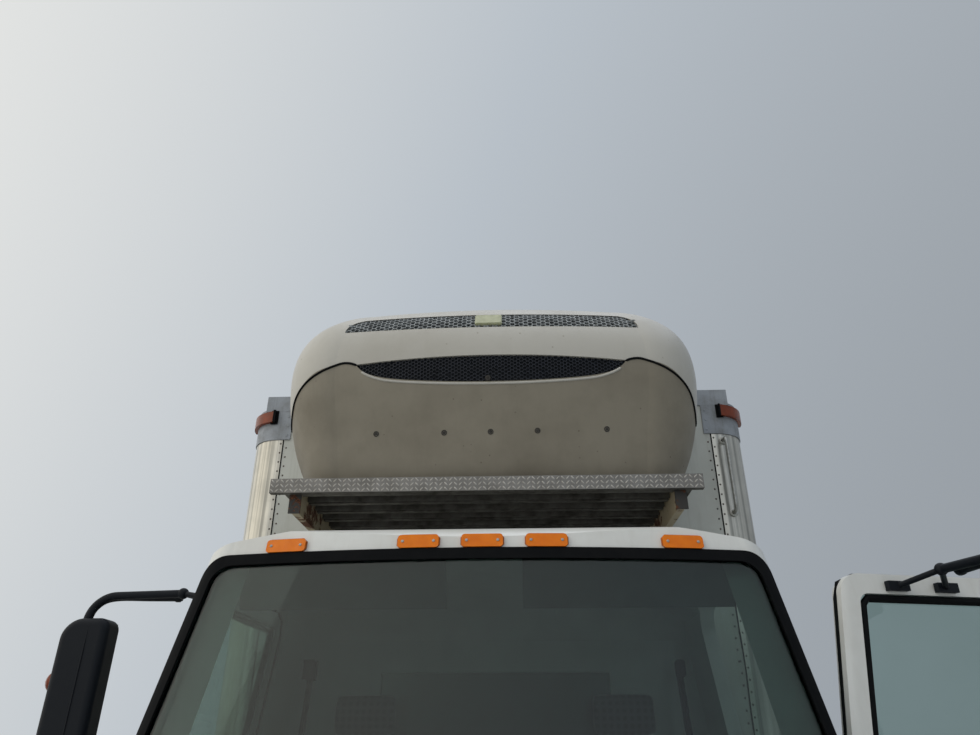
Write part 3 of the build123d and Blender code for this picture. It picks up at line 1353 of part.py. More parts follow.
pane_prism = offset(window_prism.part, amount=-seat_gap, kind=Kind.INTERSECTION)
door_hollow = cab_hull(skin, cab_low).part + cab_hull(window_frame_thickness, window_base - 30).part
for side, name, swing in ((1, "left", -door_open), (-1, "right", 0.0)):
    hinge_line = Axis((side * hinge_x, hinge_y, 0), (0, 0, 1))
    with BuildPart() as half_space:
        with Locations((side * 800, -300, 1300)):
            Box(600, 1400, 2000)
    with BuildPart() as cab_door:
        add(door_prism.part & half_space.part & shell_outer.part)
        add(door_hollow, mode=Mode.SUBTRACT)
        add(window_prism.part, mode=Mode.SUBTRACT)
        for z in door_hinge_z:
            with Locations((side * hinge_x, hinge_y, z)):
                Cylinder(door_barrel, 2 * door_barrel_half)
            with Locations((side * (cab_half_width + leaf_thickness / 2 - 1), hinge_y + 30, z)):
                Box(leaf_thickness + 2, 60, 2 * door_barrel_half)
            with Locations((side * hinge_x, hinge_y, z)):
                Cylinder(door_pin + bore_clearance, 2 * door_barrel_half, mode=Mode.SUBTRACT)
        with Locations((side * (cab_half_width + 10), door_rear - 110, 1180)):
            Box(22, 150, 34)
    cab_door.part = cab_door.part.rotate(hinge_line, swing)
    keep(cab_door, f"cab_door_{name}")

    with BuildPart() as door_glass:
        add(cab_layer(glass_inset, glass_inset + glass_thickness, pane_prism & half_space.part))
    door_glass.part = door_glass.part.rotate(hinge_line, swing)
    keep(door_glass, f"cab_door_{name}_glass")

    with BuildPart() as mirror_head:
        with BuildSketch(Plane.XZ.offset(-head_back)) as head_face:
            with Locations((side * (head_inner + head_outer) / 2, (head_low + head_high) / 2)):
                Rectangle(head_outer - head_inner, head_high - head_low)
            fillet(head_face.vertices().group_by(Axis.X)[-1 if side > 0 else 0], radius=head_shoulder)
            fillet(head_face.vertices().group_by(Axis.X)[0 if side > 0 else -1], radius=head_corner)
        extrude(amount=head_depth)
        fillet(mirror_head.faces().sort_by(Axis.Y)[0].edges(), radius=head_edge)
    with BuildPart() as mirror:
        points = [(side * x, y, z) for x, y, z in mirror_route]
        with BuildLine() as tube_line:
            FilletPolyline(*points, radius=mirror_bend)
        with BuildSketch(Plane(origin=points[0], z_dir=tube_line.line % 0)):
            Circle(mirror_tube)
        sweep(path=tube_line.line)
        with Locations(mirror_clamp if side > 0 else (-mirror_clamp[0],) + mirror_clamp[1:]):
            Sphere(17)
        for y in pad_y:
            surface_x = cab_half_width - side_lean * (pad_z - belt_height)
            with Locations((side * (surface_x + 11), y, pad_z)):
                Box(18, 66, 26)
            strut_start = Vector(side * (surface_x + 11), y, pad_z)
            strut = Vector(side * mirror_clamp[0], mirror_clamp[1], mirror_clamp[2]) - strut_start
            with BuildSketch(Plane(origin=strut_start, z_dir=strut)):
                Circle(8)
            extrude(amount=strut.length)
        add(mirror_head.part)
        with Locations((side * (cab_half_width + 6 + seat_gap), mirror_route[-1][1], mirror_route[-1][2])):
            Box(12, 80, 60)
    mirror.part = mirror.part.rotate(hinge_line, swing)
    keep(mirror, f"cab_door_{name}_mirror")
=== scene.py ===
# %% [markdown]
# # Refrigerated truck: the looks
#
# A forward-control cab with a white pressed-steel skin, an insulated box with bright aluminium
# corner posts, and a cooling unit that hangs on the nose of the box above a tread-plate catwalk.
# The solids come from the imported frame, in metres and already in place. This lesson gives them
# their finishes and adds what is too fine or too repetitive for the solids: rivets, sealant, tread
# plate, perforated grilles, tyre tread, wheel nuts and wipers.

# %% Load the frame
import math

import bpy
import bmesh
from mathutils import Matrix, Vector
from mathutils.bvhtree import BVHTree


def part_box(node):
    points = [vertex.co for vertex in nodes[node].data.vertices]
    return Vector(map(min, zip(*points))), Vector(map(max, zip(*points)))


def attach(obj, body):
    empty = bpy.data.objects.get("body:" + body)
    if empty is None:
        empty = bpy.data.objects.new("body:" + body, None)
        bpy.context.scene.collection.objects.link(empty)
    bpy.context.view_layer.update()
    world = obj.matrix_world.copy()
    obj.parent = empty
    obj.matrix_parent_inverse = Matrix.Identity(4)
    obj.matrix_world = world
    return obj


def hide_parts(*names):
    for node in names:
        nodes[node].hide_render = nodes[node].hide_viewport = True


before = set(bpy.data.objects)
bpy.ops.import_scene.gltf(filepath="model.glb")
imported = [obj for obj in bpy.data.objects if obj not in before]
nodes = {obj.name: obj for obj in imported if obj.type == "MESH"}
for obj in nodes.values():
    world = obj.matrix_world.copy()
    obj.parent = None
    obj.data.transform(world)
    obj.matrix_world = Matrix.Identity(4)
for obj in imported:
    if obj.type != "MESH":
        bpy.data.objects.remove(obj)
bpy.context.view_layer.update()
MM = 0.001
SIDES = ((1, "left"), (-1, "right"))

# %% [markdown]
# The camera stands in front of the truck at eye height and looks up at the cooling unit with a
# wide phone lens. Its pitch, its small turn and its focal length were solved from edges whose real
# height and width are known.

# %% Camera
FOCAL_PIXELS, IMAGE_WIDTH = 737.4, 980
PITCH, TURN, ROLL = math.radians(26.895), math.radians(1.977), math.radians(-0.095)
EYE = (0.092, -2.812, 1.660)

lens = bpy.data.cameras.new("eye_height_lens")
lens.sensor_width = 36.0
lens.lens = lens.sensor_width * FOCAL_PIXELS / IMAGE_WIDTH
lens.clip_start, lens.clip_end = 0.05, 200.0
camera = bpy.data.objects.new("eye_height_camera", lens)
bpy.context.scene.collection.objects.link(camera)
camera.matrix_world = (
    Matrix.Translation(EYE)
    @ Matrix.Rotation(TURN, 4, "Z")
    @ Matrix.Rotation(math.pi / 2 + PITCH, 4, "X")
    @ Matrix.Rotation(ROLL, 4, "Z")
)
bpy.context.scene.camera = camera
print("camera lens", round(lens.lens, 2), "mm")

# %% [markdown]
# Every material is built from the same few moves. One helper turns an sRGB hex value into the
# linear colour that a shader reads, and one adds a node, with its settings and its links. The
# others name the nodes that come back in every finish, so that a finish reads as a short list.

# %% Helpers for all finishes
def linear(hex_colour):
    """An sRGB hex value as a linear colour with full alpha."""
    parts = [int(hex_colour[i : i + 2], 16) / 255 for i in (1, 3, 5)]
    linear_parts = [c / 12.92 if c <= 0.04045 else ((c + 0.055) / 1.055) ** 2.4 for c in parts]
    return (*linear_parts, 1.0)


def feed(tree, node, inputs):
    """Sets or links a node's inputs; another node given as input stands for its first output."""
    for name, value in inputs.items():
        if isinstance(value, bpy.types.Node):
            value = value.outputs[0]
        if isinstance(value, bpy.types.NodeSocket):
            tree.links.new(value, node.inputs[name])
        else:
            node.inputs[name].default_value = value


def add(tree, kind, inputs=None, **settings):
    """One node with its settings and its inputs."""
    node = tree.nodes.new(kind)
    for name, value in settings.items():
        setattr(node, name, value)
    feed(tree, node, inputs or {})
    return node


def start_finish(name, sockets=None):
    """A material with one Principled surface: its tree and the object's own coordinates."""
    material = bpy.data.materials.new(name)
    material.use_nodes = True
    tree = material.node_tree
    feed(tree, tree.nodes["Principled BSDF"], sockets or {})
    return material, tree, add(tree, "ShaderNodeTexCoord").outputs["Object"]


def noise(tree, place, size_mm, detail, **more):
    """Noise with features of about the given size."""
    inputs = {"Vector": place, "Scale": 1000 / size_mm, "Detail": detail, **more}
    return add(tree, "ShaderNodeTexNoise", inputs)


def remap(tree, value, span, result=(0.0, 1.0)):
    """A value carried from one span to another and clamped there."""
    labels = ("Value", "From Min", "From Max", "To Min", "To Max")
    return add(tree, "ShaderNodeMapRange", dict(zip(labels, (value, *span, *result))))


def sums(tree, operation, *values, clamp=False):
    """One step of arithmetic."""
    return add(tree, "ShaderNodeMath", dict(enumerate(values)), operation=operation,
               use_clamp=clamp)


# The colour sockets of a Mix node set to RGBA
MIX_A, MIX_B, MIX_OUT = 6, 7, 2


def mixed(tree, share, *colours):
    """A blend of two colours, each a hex value, a node or an output."""
    first, second = [linear(c) if isinstance(c, str) else c for c in colours]
    inputs = {"Factor": share, MIX_A: first, MIX_B: second}
    return add(tree, "ShaderNodeMix", inputs, data_type="RGBA").outputs[MIX_OUT]


def bump(tree, height, rise_mm, strength=1.0, **more):
    """A normal that is tilted as a height of so many millimetres would tilt it."""
    inputs = {"Height": height, "Strength": strength, "Distance": rise_mm * MM, **more}
    return add(tree, "ShaderNodeBump", inputs)


def coat(tree, colour, **looks):
    """Gives the surface its colour and what else is named."""
    feed(tree, tree.nodes["Principled BSDF"], {"Base Color": colour, **looks})


print("helpers ready:", linear("#808080")[0])

# %% [markdown]
# Paint and moulded plastic on a working truck share one build: a base colour, a second colour for
# the dirt that gathers in soft patches, thin runs where rain has carried it down, and a fine grain
# that breaks up the gloss. Where a finish asks for it, the same second colour also darkens corners
# and creases as painted shade, by how little light reaches them. The sizes are real ones in
# millimetres, so a patch is as large on the small mirror as on the tall box.

# %% Weathered paint and plastic
# Between which values of the noise dirt sets in, and of the light that a corner gets, painted shade
PATCH_SPAN, RUN_SPAN, SPECK_SPAN, CORNER_SPAN = (0.42, 0.72), (0.5, 0.75), (0.05, 0.11), (0.35, 0.9)
RUN_STRETCH, CORNER_REACH = (1.0, 1.0, 0.05), 0.05
SPECK_SPACING, SPECK_SHARE, SPECK_DEPTH = 9, 0.72, 0.75
DIRT_DULLS_BY = 0.35


def weathered(
    name, colour, dirt_and_shade_colour, patch_mm, amount, roughness,
    run_mm=0, run_amount=0.0, grain_mm=6.0, relief_mm=0.02, speck_mm=0, corner_shade=0.0,
    sockets=None,
):
    """Paint or plastic with patches, runs and specks of dirt and painted shade in corners, rougher
    where they lie.
    """
    material, tree, place = start_finish(name, sockets)
    patches = noise(tree, place, patch_mm, 5.0, Roughness=0.62)
    dirt_and_shade = remap(tree, patches, PATCH_SPAN, (0.0, amount))
    if run_mm:
        tall = add(tree, "ShaderNodeMapping", {"Vector": place, "Scale": RUN_STRETCH})
        runs = noise(tree, tall, run_mm, 4.0, Roughness=0.7)
        run_share = remap(tree, runs, RUN_SPAN, (0.0, run_amount))
        dirt_and_shade = sums(tree, "ADD", dirt_and_shade, run_share, clamp=True)
    if speck_mm:
        scale = 1000 / (speck_mm * SPECK_SPACING)
        cells = add(tree, "ShaderNodeTexVoronoi", {"Vector": place, "Scale": scale}).outputs
        near = remap(tree, cells["Distance"], SPECK_SPAN, (SPECK_DEPTH, 0.0))
        picked = add(tree, "ShaderNodeSeparateColor", {"Color": cells["Color"]})
        few = sums(tree, "GREATER_THAN", picked.outputs["Red"], SPECK_SHARE)
        specks = sums(tree, "MULTIPLY", near, few)
        dirt_and_shade = sums(tree, "ADD", dirt_and_shade, specks, clamp=True)
    # Painted shade: ambient occlusion darkens corners, creases and recesses towards the second
    # colour
    if corner_shade:
        shade = add(tree, "ShaderNodeAmbientOcclusion", {"Distance": CORNER_REACH}, samples=4)
        nook = remap(tree, shade.outputs["AO"], CORNER_SPAN, (corner_shade, 0.0))
        dirt_and_shade = sums(tree, "ADD", dirt_and_shade, nook, clamp=True)
    dull = min(1.0, roughness + DIRT_DULLS_BY)
    coat(tree, mixed(tree, dirt_and_shade, colour, dirt_and_shade_colour),
         Roughness=remap(tree, dirt_and_shade, (0.0, 1.0), (roughness, dull)),
         Normal=bump(tree, noise(tree, place, grain_mm, 3.0), relief_mm))
    return material


# What a clear coat, rubber or plastic of refractive index 1.50 or 1.53 gives its surface
IOR_150, IOR_153 = {"IOR": 1.5}, {"IOR": 1.53}
# Two-pack acrylic truck enamel on pressed steel: bright, glossy, a little road film low down
cab_enamel = weathered(
    "acrylic_truck_enamel_white", "#d4d6d4", "#9b9588", 380, 0.30, 0.30, run_mm=30, run_amount=0.10,
    grain_mm=90, relief_mm=0.10, sockets={"IOR": 1.5, "Coat Weight": 0.35, "Coat Roughness": 0.12})
# Prepainted aluminium sheet: flatter white than the cab, faint ripples, grime carried down in runs
box_sheet = weathered(
    "prepainted_aluminium_sheet", "#b9bcb7", "#7d786b", 520, 0.30, 0.38, run_mm=26, run_amount=0.22,
    grain_mm=240, relief_mm=0.9, corner_shade=0.3, sockets=IOR_150)
# Glass-reinforced plastic roof sheet: chalky white
roof_sheet = weathered(
    "grp_roof_sheet", "#d9dad4", "#8c887a", 300, 0.42, 0.55, grain_mm=60, relief_mm=0.6,
    sockets=IOR_150)
# Vacuum-formed ABS shell of the cooling unit: warm white, satin
unit_shell = weathered(
    "vacuum_formed_abs_shell", "#aeaca5", "#857f71", 420, 0.26, 0.36, run_mm=60, run_amount=0.08,
    grain_mm=9, relief_mm=0.05, speck_mm=5, corner_shade=0.2, sockets=IOR_153)
# The lower panel of the unit faces down to the road: browner, duller, spotted, and darker still as
# painted shade
unit_panel_shaded = weathered(
    "vacuum_formed_abs_panel", "#7f796b", "#595245", 300, 0.42, 0.46, run_mm=60, run_amount=0.10,
    grain_mm=7, relief_mm=0.06, speck_mm=4, corner_shade=0.2, sockets=IOR_153)
# Powder-coated aluminium casting of the box corners: mid grey
cap_grey = weathered(
    "powder_coated_aluminium_casting", "#8d939b", "#62625e", 60, 0.5, 0.50, run_mm=14,
    run_amount=0.3, grain_mm=3, relief_mm=0.12, corner_shade=0.4)
# Grained polypropylene of mirrors and mouldings: near black, soft sheen
black_plastic = weathered(
    "grained_polypropylene_black", "#0a1018", "#282b2d", 120, 0.16, 0.52, grain_mm=2.4,
    relief_mm=0.10, sockets={"IOR": 1.49, "Specular IOR Level": 0.22})
grey_plastic = weathered(
    "moulded_abs_grey", "#5d6062", "#3e3c38", 140, 0.3, 0.55, grain_mm=2.0, relief_mm=0.08,
    sockets=IOR_153)
# EPDM rubber of seals: matt blue-black with a dusty bloom
seal_rubber = weathered(
    "epdm_seal_rubber", "#07090c", "#232322", 45, 0.20, 0.68, grain_mm=5, relief_mm=0.08,
    sockets={"IOR": 1.5, "Specular IOR Level": 0.10})
tyre_rubber = weathered(
    "carbon_black_tyre_rubber", "#1c1c1c", "#6e675b", 70, 0.55, 0.78, grain_mm=4, relief_mm=0.15,
    corner_shade=0.3, sockets=IOR_150)
# The black enamel of the frame, the oily iron of the engine and the white of the wheels
chassis_black = weathered(
    "chassis_enamel_black", "#1e1f20", "#6a5f50", 140, 0.6, 0.55, run_mm=18, run_amount=0.25,
    grain_mm=5, relief_mm=0.2, corner_shade=0.5, sockets=IOR_150)
engine_iron = weathered(
    "grey_cast_iron_oily", "#3b3c3d", "#241f1a", 80, 0.7, 0.52, grain_mm=3, relief_mm=0.35,
    corner_shade=0.4, sockets=IOR_150)
wheel_white = weathered(
    "stoved_wheel_enamel_white", "#d6d6d1", "#6b5542", 60, 0.5, 0.42, grain_mm=8, relief_mm=0.06,
    corner_shade=0.6, sockets=IOR_150)
headliner = weathered(
    "needled_headliner_grey", "#7c807f", "#5b5d5a", 90, 0.4, 0.9, grain_mm=3, relief_mm=0.5)
# Small mouldings of the unit and the lamps: screw cups, honeycombs, the bare plate, lens rims
cup_plastic = weathered(
    "polyamide_screw_cup", "#2d2a26", "#1b1916", 12, 0.5, 0.6, grain_mm=2, sockets=IOR_153)
comb_bright = weathered(
    "moulded_honeycomb_grey", "#8f9496", "#1c1e21", 26, 0.9, 0.32, grain_mm=3, sockets=IOR_153)
comb_navy = weathered(
    "moulded_honeycomb_navy", "#141a27", "#0a0d13", 60, 0.6, 0.4, grain_mm=3, sockets=IOR_153)
pale_plate = weathered("anodised_badge_plate", "#a9ac8c", "#7d7f6c", 30, 0.4, 0.4, grain_mm=2)
lens_rim = weathered(
    "acrylic_lens_rim_amber", "#a4560f", "#5e3410", 30, 0.5, 0.4, grain_mm=3, sockets={"IOR": 1.49})
# Dark phosphated steel of the wheel nuts; on the front wall rivets the same dark colour is painted
# shade
nut_steel_and_rivet_shade = weathered("phosphated_steel_nut", "#5b5a57", "#5a3a24", 20, 0.7, 0.5, grain_mm=2)
print("weathered finishes", len(bpy.data.materials))

# %% [markdown]
# Bare metal is told by its highlight. Rolled and extruded aluminium carries fine lines along the
# direction in which it left the mill, so the noise is drawn out a hundredfold along that axis. Old
# aluminium has dull oxide patches as well, and a dent now and then.

# %% Bare metals
DRAWN_OUT, DENT_DEPTH = 0.01, 0.03
OXIDE_SPAN, STREAK_SPAN, STREAK_SHARE = (0.4, 0.68), (0.44, 0.62), 0.75
OXIDE_ROUGHENS, LINES_ROUGHEN = 0.28, 0.12


def bare_metal(
    name, colour, oxide, roughness, along,
    line_mm=3.0, patch_mm=120, oxide_share=0.5, dent_mm=0, relief_mm=0.02, streak_mm=0,
):
    """A metal with lines drawn along one axis and patches of dull oxide."""
    material, tree, place = start_finish(name, {"Metallic": 1.0})
    stretch = [DRAWN_OUT if axis == along else 1.0 for axis in "XYZ"]
    drawn = add(tree, "ShaderNodeMapping", {"Vector": place, "Scale": stretch})
    lines = noise(tree, drawn, line_mm, 2.0)
    patches = noise(tree, place, patch_mm, 6.0, Roughness=0.6)
    dull = remap(tree, patches, OXIDE_SPAN, (0.0, oxide_share))
    tone = mixed(tree, dull, colour, oxide)
    if streak_mm:
        bands = noise(tree, drawn, streak_mm, 3.0)
        tone = mixed(tree, remap(tree, bands, STREAK_SPAN, (0.0, STREAK_SHARE)), tone, oxide)
    shine = sums(tree, "MULTIPLY_ADD", dull, OXIDE_ROUGHENS, roughness)
    normal = bump(tree, lines, relief_mm)
    if dent_mm:
        knocks = noise(tree, place, dent_mm, 1.0)
        normal = bump(tree, knocks, dent_mm * DENT_DEPTH, Normal=normal)
    coat(tree, tone, Normal=normal,
         Roughness=sums(tree, "MULTIPLY_ADD", lines, LINES_ROUGHEN, shine))
    return material


post_metal = bare_metal(
    "extruded_aluminium_post", "#d6d3c9", "#84847f", 0.24, "Z",
    patch_mm=180, dent_mm=70, oxide_share=0.3, streak_mm=22)
rail_metal = bare_metal(
    "extruded_aluminium_rail", "#cfd0ce", "#8f908d", 0.30, "Y", patch_mm=160, dent_mm=90)
plate_metal = bare_metal(
    "rolled_tread_plate", "#858380", "#65625d", 0.38, "X", patch_mm=60, oxide_share=0.4)
crest_metal = bare_metal(
    "scuffed_tread_crests", "#b4b1ab", "#8e8b85", 0.30, "X", patch_mm=30, oxide_share=0.5)
# Underside and ribs of the catwalk deck: a darker colour as painted shade, for the shade under the
# deck
deck_underside_shaded = bare_metal(
    "galvanised_deck_underside", "#75736e", "#4b4843", 0.5, "X", patch_mm=90, oxide_share=0.9)
tank_metal = bare_metal("brushed_tank_aluminium", "#c4c6c6", "#8a8b89", 0.30, "Y", patch_mm=140)
zinc_metal = bare_metal("zinc_plated_steel", "#b3b4b0", "#7d7a72", 0.36, "X", patch_mm=20)
mirror_metal = bare_metal(
    "silvered_mirror_face", "#dfe4e4", "#cfd3d3", 0.02, "Z",
    patch_mm=400, oxide_share=0.1, relief_mm=0.0)
lamp_chrome = bare_metal(
    "aluminised_reflector", "#dadddd", "#c4c7c7", 0.08, "X", patch_mm=80, oxide_share=0.2)
print("metals ready")

# %% [markdown]
# Rust starts where paint has chipped: at edges and in patches. A coarse noise with hard borders
# decides where the paint is gone, a finer one colours the rust between orange dust and dark scale,
# and the same mask lifts the surface and takes its gloss away.

# %% Painted steel going to rust
RUST_STOPS = ((0.3, "#2b1710"), (0.52, "#50301e"), (0.72, "#7d4c2b"))
RUST_ROUGHNESS, RUST_LIFT_MM = 0.92, 0.5
# The noise value at which unrusted paint would end, how far a full share moves it, and its blur
BORDER, BORDER_SHIFT, BORDER_BLUR = 0.66, 0.3, 0.04


def rusting(name, paint, roughness, patch_mm, rust_share, grain_mm=4.0):
    """Painted steel with rust breaking through over roughly the given share of its face."""
    material, tree, place = start_finish(name, IOR_150)
    chips = noise(tree, place, patch_mm, 8.0, Roughness=0.68, Distortion=0.4)
    border = BORDER - BORDER_SHIFT * rust_share
    bare = remap(tree, chips, (border, border + BORDER_BLUR))
    rust = add(tree, "ShaderNodeValToRGB", {"Fac": noise(tree, place, grain_mm, 4.0)})
    stops = rust.color_ramp.elements
    stops.new(0.5)
    for stop, (position, colour) in zip(stops, RUST_STOPS):
        stop.position, stop.color = position, linear(colour)
    coat(tree, mixed(tree, bare, paint, rust.outputs["Color"]),
         Roughness=remap(tree, bare, (0.0, 1.0), (roughness, RUST_ROUGHNESS)),
         Normal=bump(tree, chips, RUST_LIFT_MM, 0.8))
    return material


arm_paint = rusting("primed_steel_rusting", "#a1957c", 0.6, 150, 0.40)
silencer_steel = rusting("aluminised_steel_rusting", "#77736c", 0.5, 60, 0.35)
spring_steel = rusting("spring_steel_scaled", "#2a2826", 0.55, 50, 0.45)
print("rusting finishes ready")

# %% [markdown]
# Glass and lenses let light through, so they need transmission and not alpha. The windscreen is
# laminated glass with a green tint that deepens with thickness. The lamps are moulded acrylic,
# coloured right through, and small prisms inside scatter the light, which a short wave in the bump
# stands for.

# %% Glass and lenses
FILM_MM, CLOUD_MM = 250, 1000 / 30
# A wave texture at scale 1 repeats every twentieth of a metre
WAVE_MM = 50


def clear_pane(name, colour, film_colour, ior):
    """Glass that tints what is behind it; a thin film of road dust tints it more in patches."""
    looks = {"Transmission Weight": 1.0, "IOR": ior, "Roughness": 0.0}
    material, tree, place = start_finish(name, looks)
    coat(tree, mixed(tree, noise(tree, place, FILM_MM, 3.0), colour, film_colour))
    return material


def stripes(tree, place, pitch_mm, axis):
    """Parallel waves across one axis."""
    inputs = {"Vector": place, "Scale": WAVE_MM / pitch_mm}
    return add(tree, "ShaderNodeTexWave", inputs, wave_type="BANDS",
               bands_direction=axis).outputs["Fac"]


def lens_moulding(name, colour, depth_colour, flute_mm):
    """Coloured acrylic with a fluted inside: part of the light passes, the rest is scattered."""
    looks = {"Transmission Weight": 0.2, "IOR": 1.49, "Roughness": 0.25, "Specular IOR Level": 0.3}
    material, tree, place = start_finish(name, looks)
    coat(tree, mixed(tree, noise(tree, place, CLOUD_MM, 4.0), colour, depth_colour),
         Normal=bump(tree, stripes(tree, place, flute_mm, "X"), 0.6, 0.6))
    return material


screen_glass = clear_pane("laminated_green_tint_glass", "#90a5a1", "#82968f", 1.5)
door_glass_finish = clear_pane("toughened_green_tint_glass", "#b9cdc8", "#acc1ba", 1.52)
amber_lens = lens_moulding("moulded_acrylic_amber", "#ff8d00", "#dd6a00", 6)
red_lens = lens_moulding("moulded_acrylic_red", "#b5341c", "#7d1c10", 6)
corner_lens = lens_moulding("moulded_acrylic_orange_faded", "#93411f", "#632d1b", 8)
clear_lens = lens_moulding("moulded_polycarbonate_clear", "#d9dcdc", "#b4b8ba", 12)
print("glass and lenses ready")

# %% [markdown]
# The seats are covered in a coarse woven cloth. Two waves crossing at right angles make warp and
# weft, drawn at four millimetres because the real one, at half a millimetre, would vanish at this
# distance.

# %% Woven seat cloth
def woven_cloth(name, colour, thread, pitch_mm):
    """A plain weave: two crossed waves lift the threads and darken the gaps."""
    material, tree, place = start_finish(name, {"Roughness": 0.9, "Sheen Weight": 0.3})
    warp, weft = (stripes(tree, place, pitch_mm, axis) for axis in "XZ")
    weave = sums(tree, "MAXIMUM", warp, weft)
    coat(tree, mixed(tree, weave, thread, colour), Normal=bump(tree, weave, 0.5, 0.8))
    return material


seat_cloth = woven_cloth("woven_polyester_seat_cloth", "#4c4f52", "#25272a", 4.0)
piping_cloth = woven_cloth("woven_polyester_piping", "#2c2e31", "#17181a", 2.0)
print("cloth ready")

# %% [markdown]
# Each solid of the frame now gets the finish of the real part; the unit's lower panel and the
# deck's underside carry painted shade in their colour as well. The list is by finish, so it also
# shows what the truck is made of.

# %% Dress the solids
dress = (
    (chassis_black, "frame_rails frame_crossmembers front_axle_beam rear_axle_and_shaft tie_rod "
     "cab_mounts_and_steps box_subframe rear_bumper knuckle_left knuckle_right"),
    (spring_steel, "leaf_springs"), (engine_iron, "engine_and_radiator"),
    (silencer_steel, "exhaust_silencer"), (tank_metal, "fuel_tank"),
    (cab_enamel, "front_bumper cab_body cab_roof cab_front_panel cab_door_left cab_door_right"),
    (rail_metal, "box_floor"), (post_metal, "box_corner_posts"), (zinc_metal, "box_rear_frame"),
    (box_sheet, "box_side_walls box_front_wall rear_door_left rear_door_right"),
    (cap_grey, "box_corner_caps"), (roof_sheet, "box_roof"), (red_lens, "box_lamps"),
    (black_plastic, "battery_box rear_mudguards unit_grilles front_grille "
     "cab_door_left_mirror cab_door_right_mirror"),
    (unit_shell, "unit_housing"), (unit_panel_shaded, "unit_front_panel"),
    (plate_metal, "catwalk_deck"), (arm_paint, "catwalk_arms"),
    (clear_lens, "headlamps"), (amber_lens, "roof_lamps"), (screen_glass, "cab_glass"),
    (door_glass_finish, "cab_door_left_glass cab_door_right_glass"),
    (seal_rubber, "windscreen_gasket"), (grey_plastic, "dashboard"),
    (seat_cloth, "seats"), (headliner, "sun_visors"),
    (wheel_white, "front_wheel_left front_wheel_right rear_wheels_left rear_wheels_right"),
    (tyre_rubber, "front_tyre_left front_tyre_right rear_tyres_left rear_tyres_right"),
)
dressed = []
for finish, names in dress:
    for node_name in names.split():
        solid = nodes[node_name]
        solid.data.materials.clear()
        solid.data.materials.append(finish)
        dressed.append(node_name)


def second_finish(node_name, finish, wanted):
    """Gives the faces of a solid that a test picks a second finish."""
    mesh = nodes[node_name].data
    mesh.materials.append(finish)
    for polygon in mesh.polygons:
        if wanted(polygon.center):
            polygon.material_index = 1


DECK_LOW, DECK_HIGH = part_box("catwalk_deck")
FACE_SKIN, NOSE_PLATE, MID_BOX = 0.002, 0.0405, 1.0
# The faces behind the fascia and under the top take the darker finish: painted shade under the deck
second_finish("catwalk_deck", deck_underside_shaded,
              lambda at: at.y > DECK_LOW[1] + FACE_SKIN and at.z < DECK_HIGH[2] - FACE_SKIN)
second_finish("box_lamps", corner_lens, lambda at: at.y < MID_BOX)
second_finish("catwalk_arms", spring_steel, lambda at: at.y < DECK_LOW[1] + NOSE_PLATE)
print("dressed", len(dressed), "left plain", sorted(set(nodes) - set(dressed)))

# %% [markdown]
# Most of what follows is small hardware. Three helpers make it in mesh code: a box with eased
# edges, since no pressed or moulded edge is perfectly sharp, a bar that follows a path, and a
# turned form. A fourth closes the mesh into a piece.

# %% Helpers for hardware
def slab(form, low, high, ease_mm=2.0, place=None):
    """A box between two corners with its edges eased, added to a bmesh."""
    corners = bmesh.ops.create_cube(form, size=1.0)["verts"]
    for corner in corners:
        corner.co = Vector([a + (c + 0.5) * (b - a) for a, b, c in zip(low, high, corner.co)])
        if place:
            corner.co = place @ corner.co
    edges = list({edge for corner in corners for edge in corner.link_edges})
    bmesh.ops.bevel(form, geom=edges, offset=ease_mm * MM, segments=2, affect="EDGES",
                    clamp_overlap=True)


def circle(count):
    """The angles of so many even steps round a circle."""
    return [2 * math.pi * step / count for step in range(count)]


def skin(form, rings):
    """Faces between each ring of points and the next."""
    for first, second in zip(rings, rings[1:]):
        for side in range(len(first)):
            form.faces.new((first[side - 1], first[side], second[side], second[side - 1]))


def bar(form, path, radius, sides=10):
    """A round bar along a path, closed at both ends; radius is one value or one for each point."""
    points = [Vector(point) for point in path]
    across = (points[1] - points[0]).orthogonal()
    rings = []
    for number, point in enumerate(points):
        along = points[min(number + 1, len(points) - 1)] - points[max(number - 1, 0)]
        along.normalize()
        across = (across - along * across.dot(along)).normalized()
        beside = along.cross(across)
        size = radius[number] if isinstance(radius, (list, tuple)) else radius
        rings.append([form.verts.new(point + size * (math.cos(a) * across + math.sin(a) * beside))
                      for a in circle(sides)])
    skin(form, rings)
    form.faces.new(rings[0])
    form.faces.new(reversed(rings[-1]))


def lathe(form, profile, centre, axis, sides=16):
    """A closed turned form: profile points are (radius, height) along the axis, foot to top."""
    turn = Vector(axis).to_track_quat("Z", "Y").to_matrix()
    rings = [[form.verts.new(Vector(centre) + turn @ Vector((r * math.cos(a), r * math.sin(a), h)))
              for a in circle(sides)] for r, h in profile]
    skin(form, rings)
    form.faces.new(reversed(rings[0]))
    form.faces.new(rings[-1])


def show(name, mesh):
    """An object for a mesh, linked to the scene."""
    piece = bpy.data.objects.new(name, mesh)
    bpy.context.scene.collection.objects.link(piece)
    return piece


SHARP_FROM = math.radians(35)


def as_piece(name, form, finish, body="chassis"):
    """Turns a bmesh into a named piece with its finish, riding on a body."""
    bmesh.ops.recalc_face_normals(form, faces=form.faces)
    mesh = bpy.data.meshes.new(name)
    form.to_mesh(mesh)
    form.free()
    mesh.shade_smooth()
    mesh.set_sharp_from_angle(angle=SHARP_FROM)
    mesh.materials.append(finish)
    print(name, len(mesh.polygons), "faces")
    piece = show(name, mesh)
    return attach(piece, body)


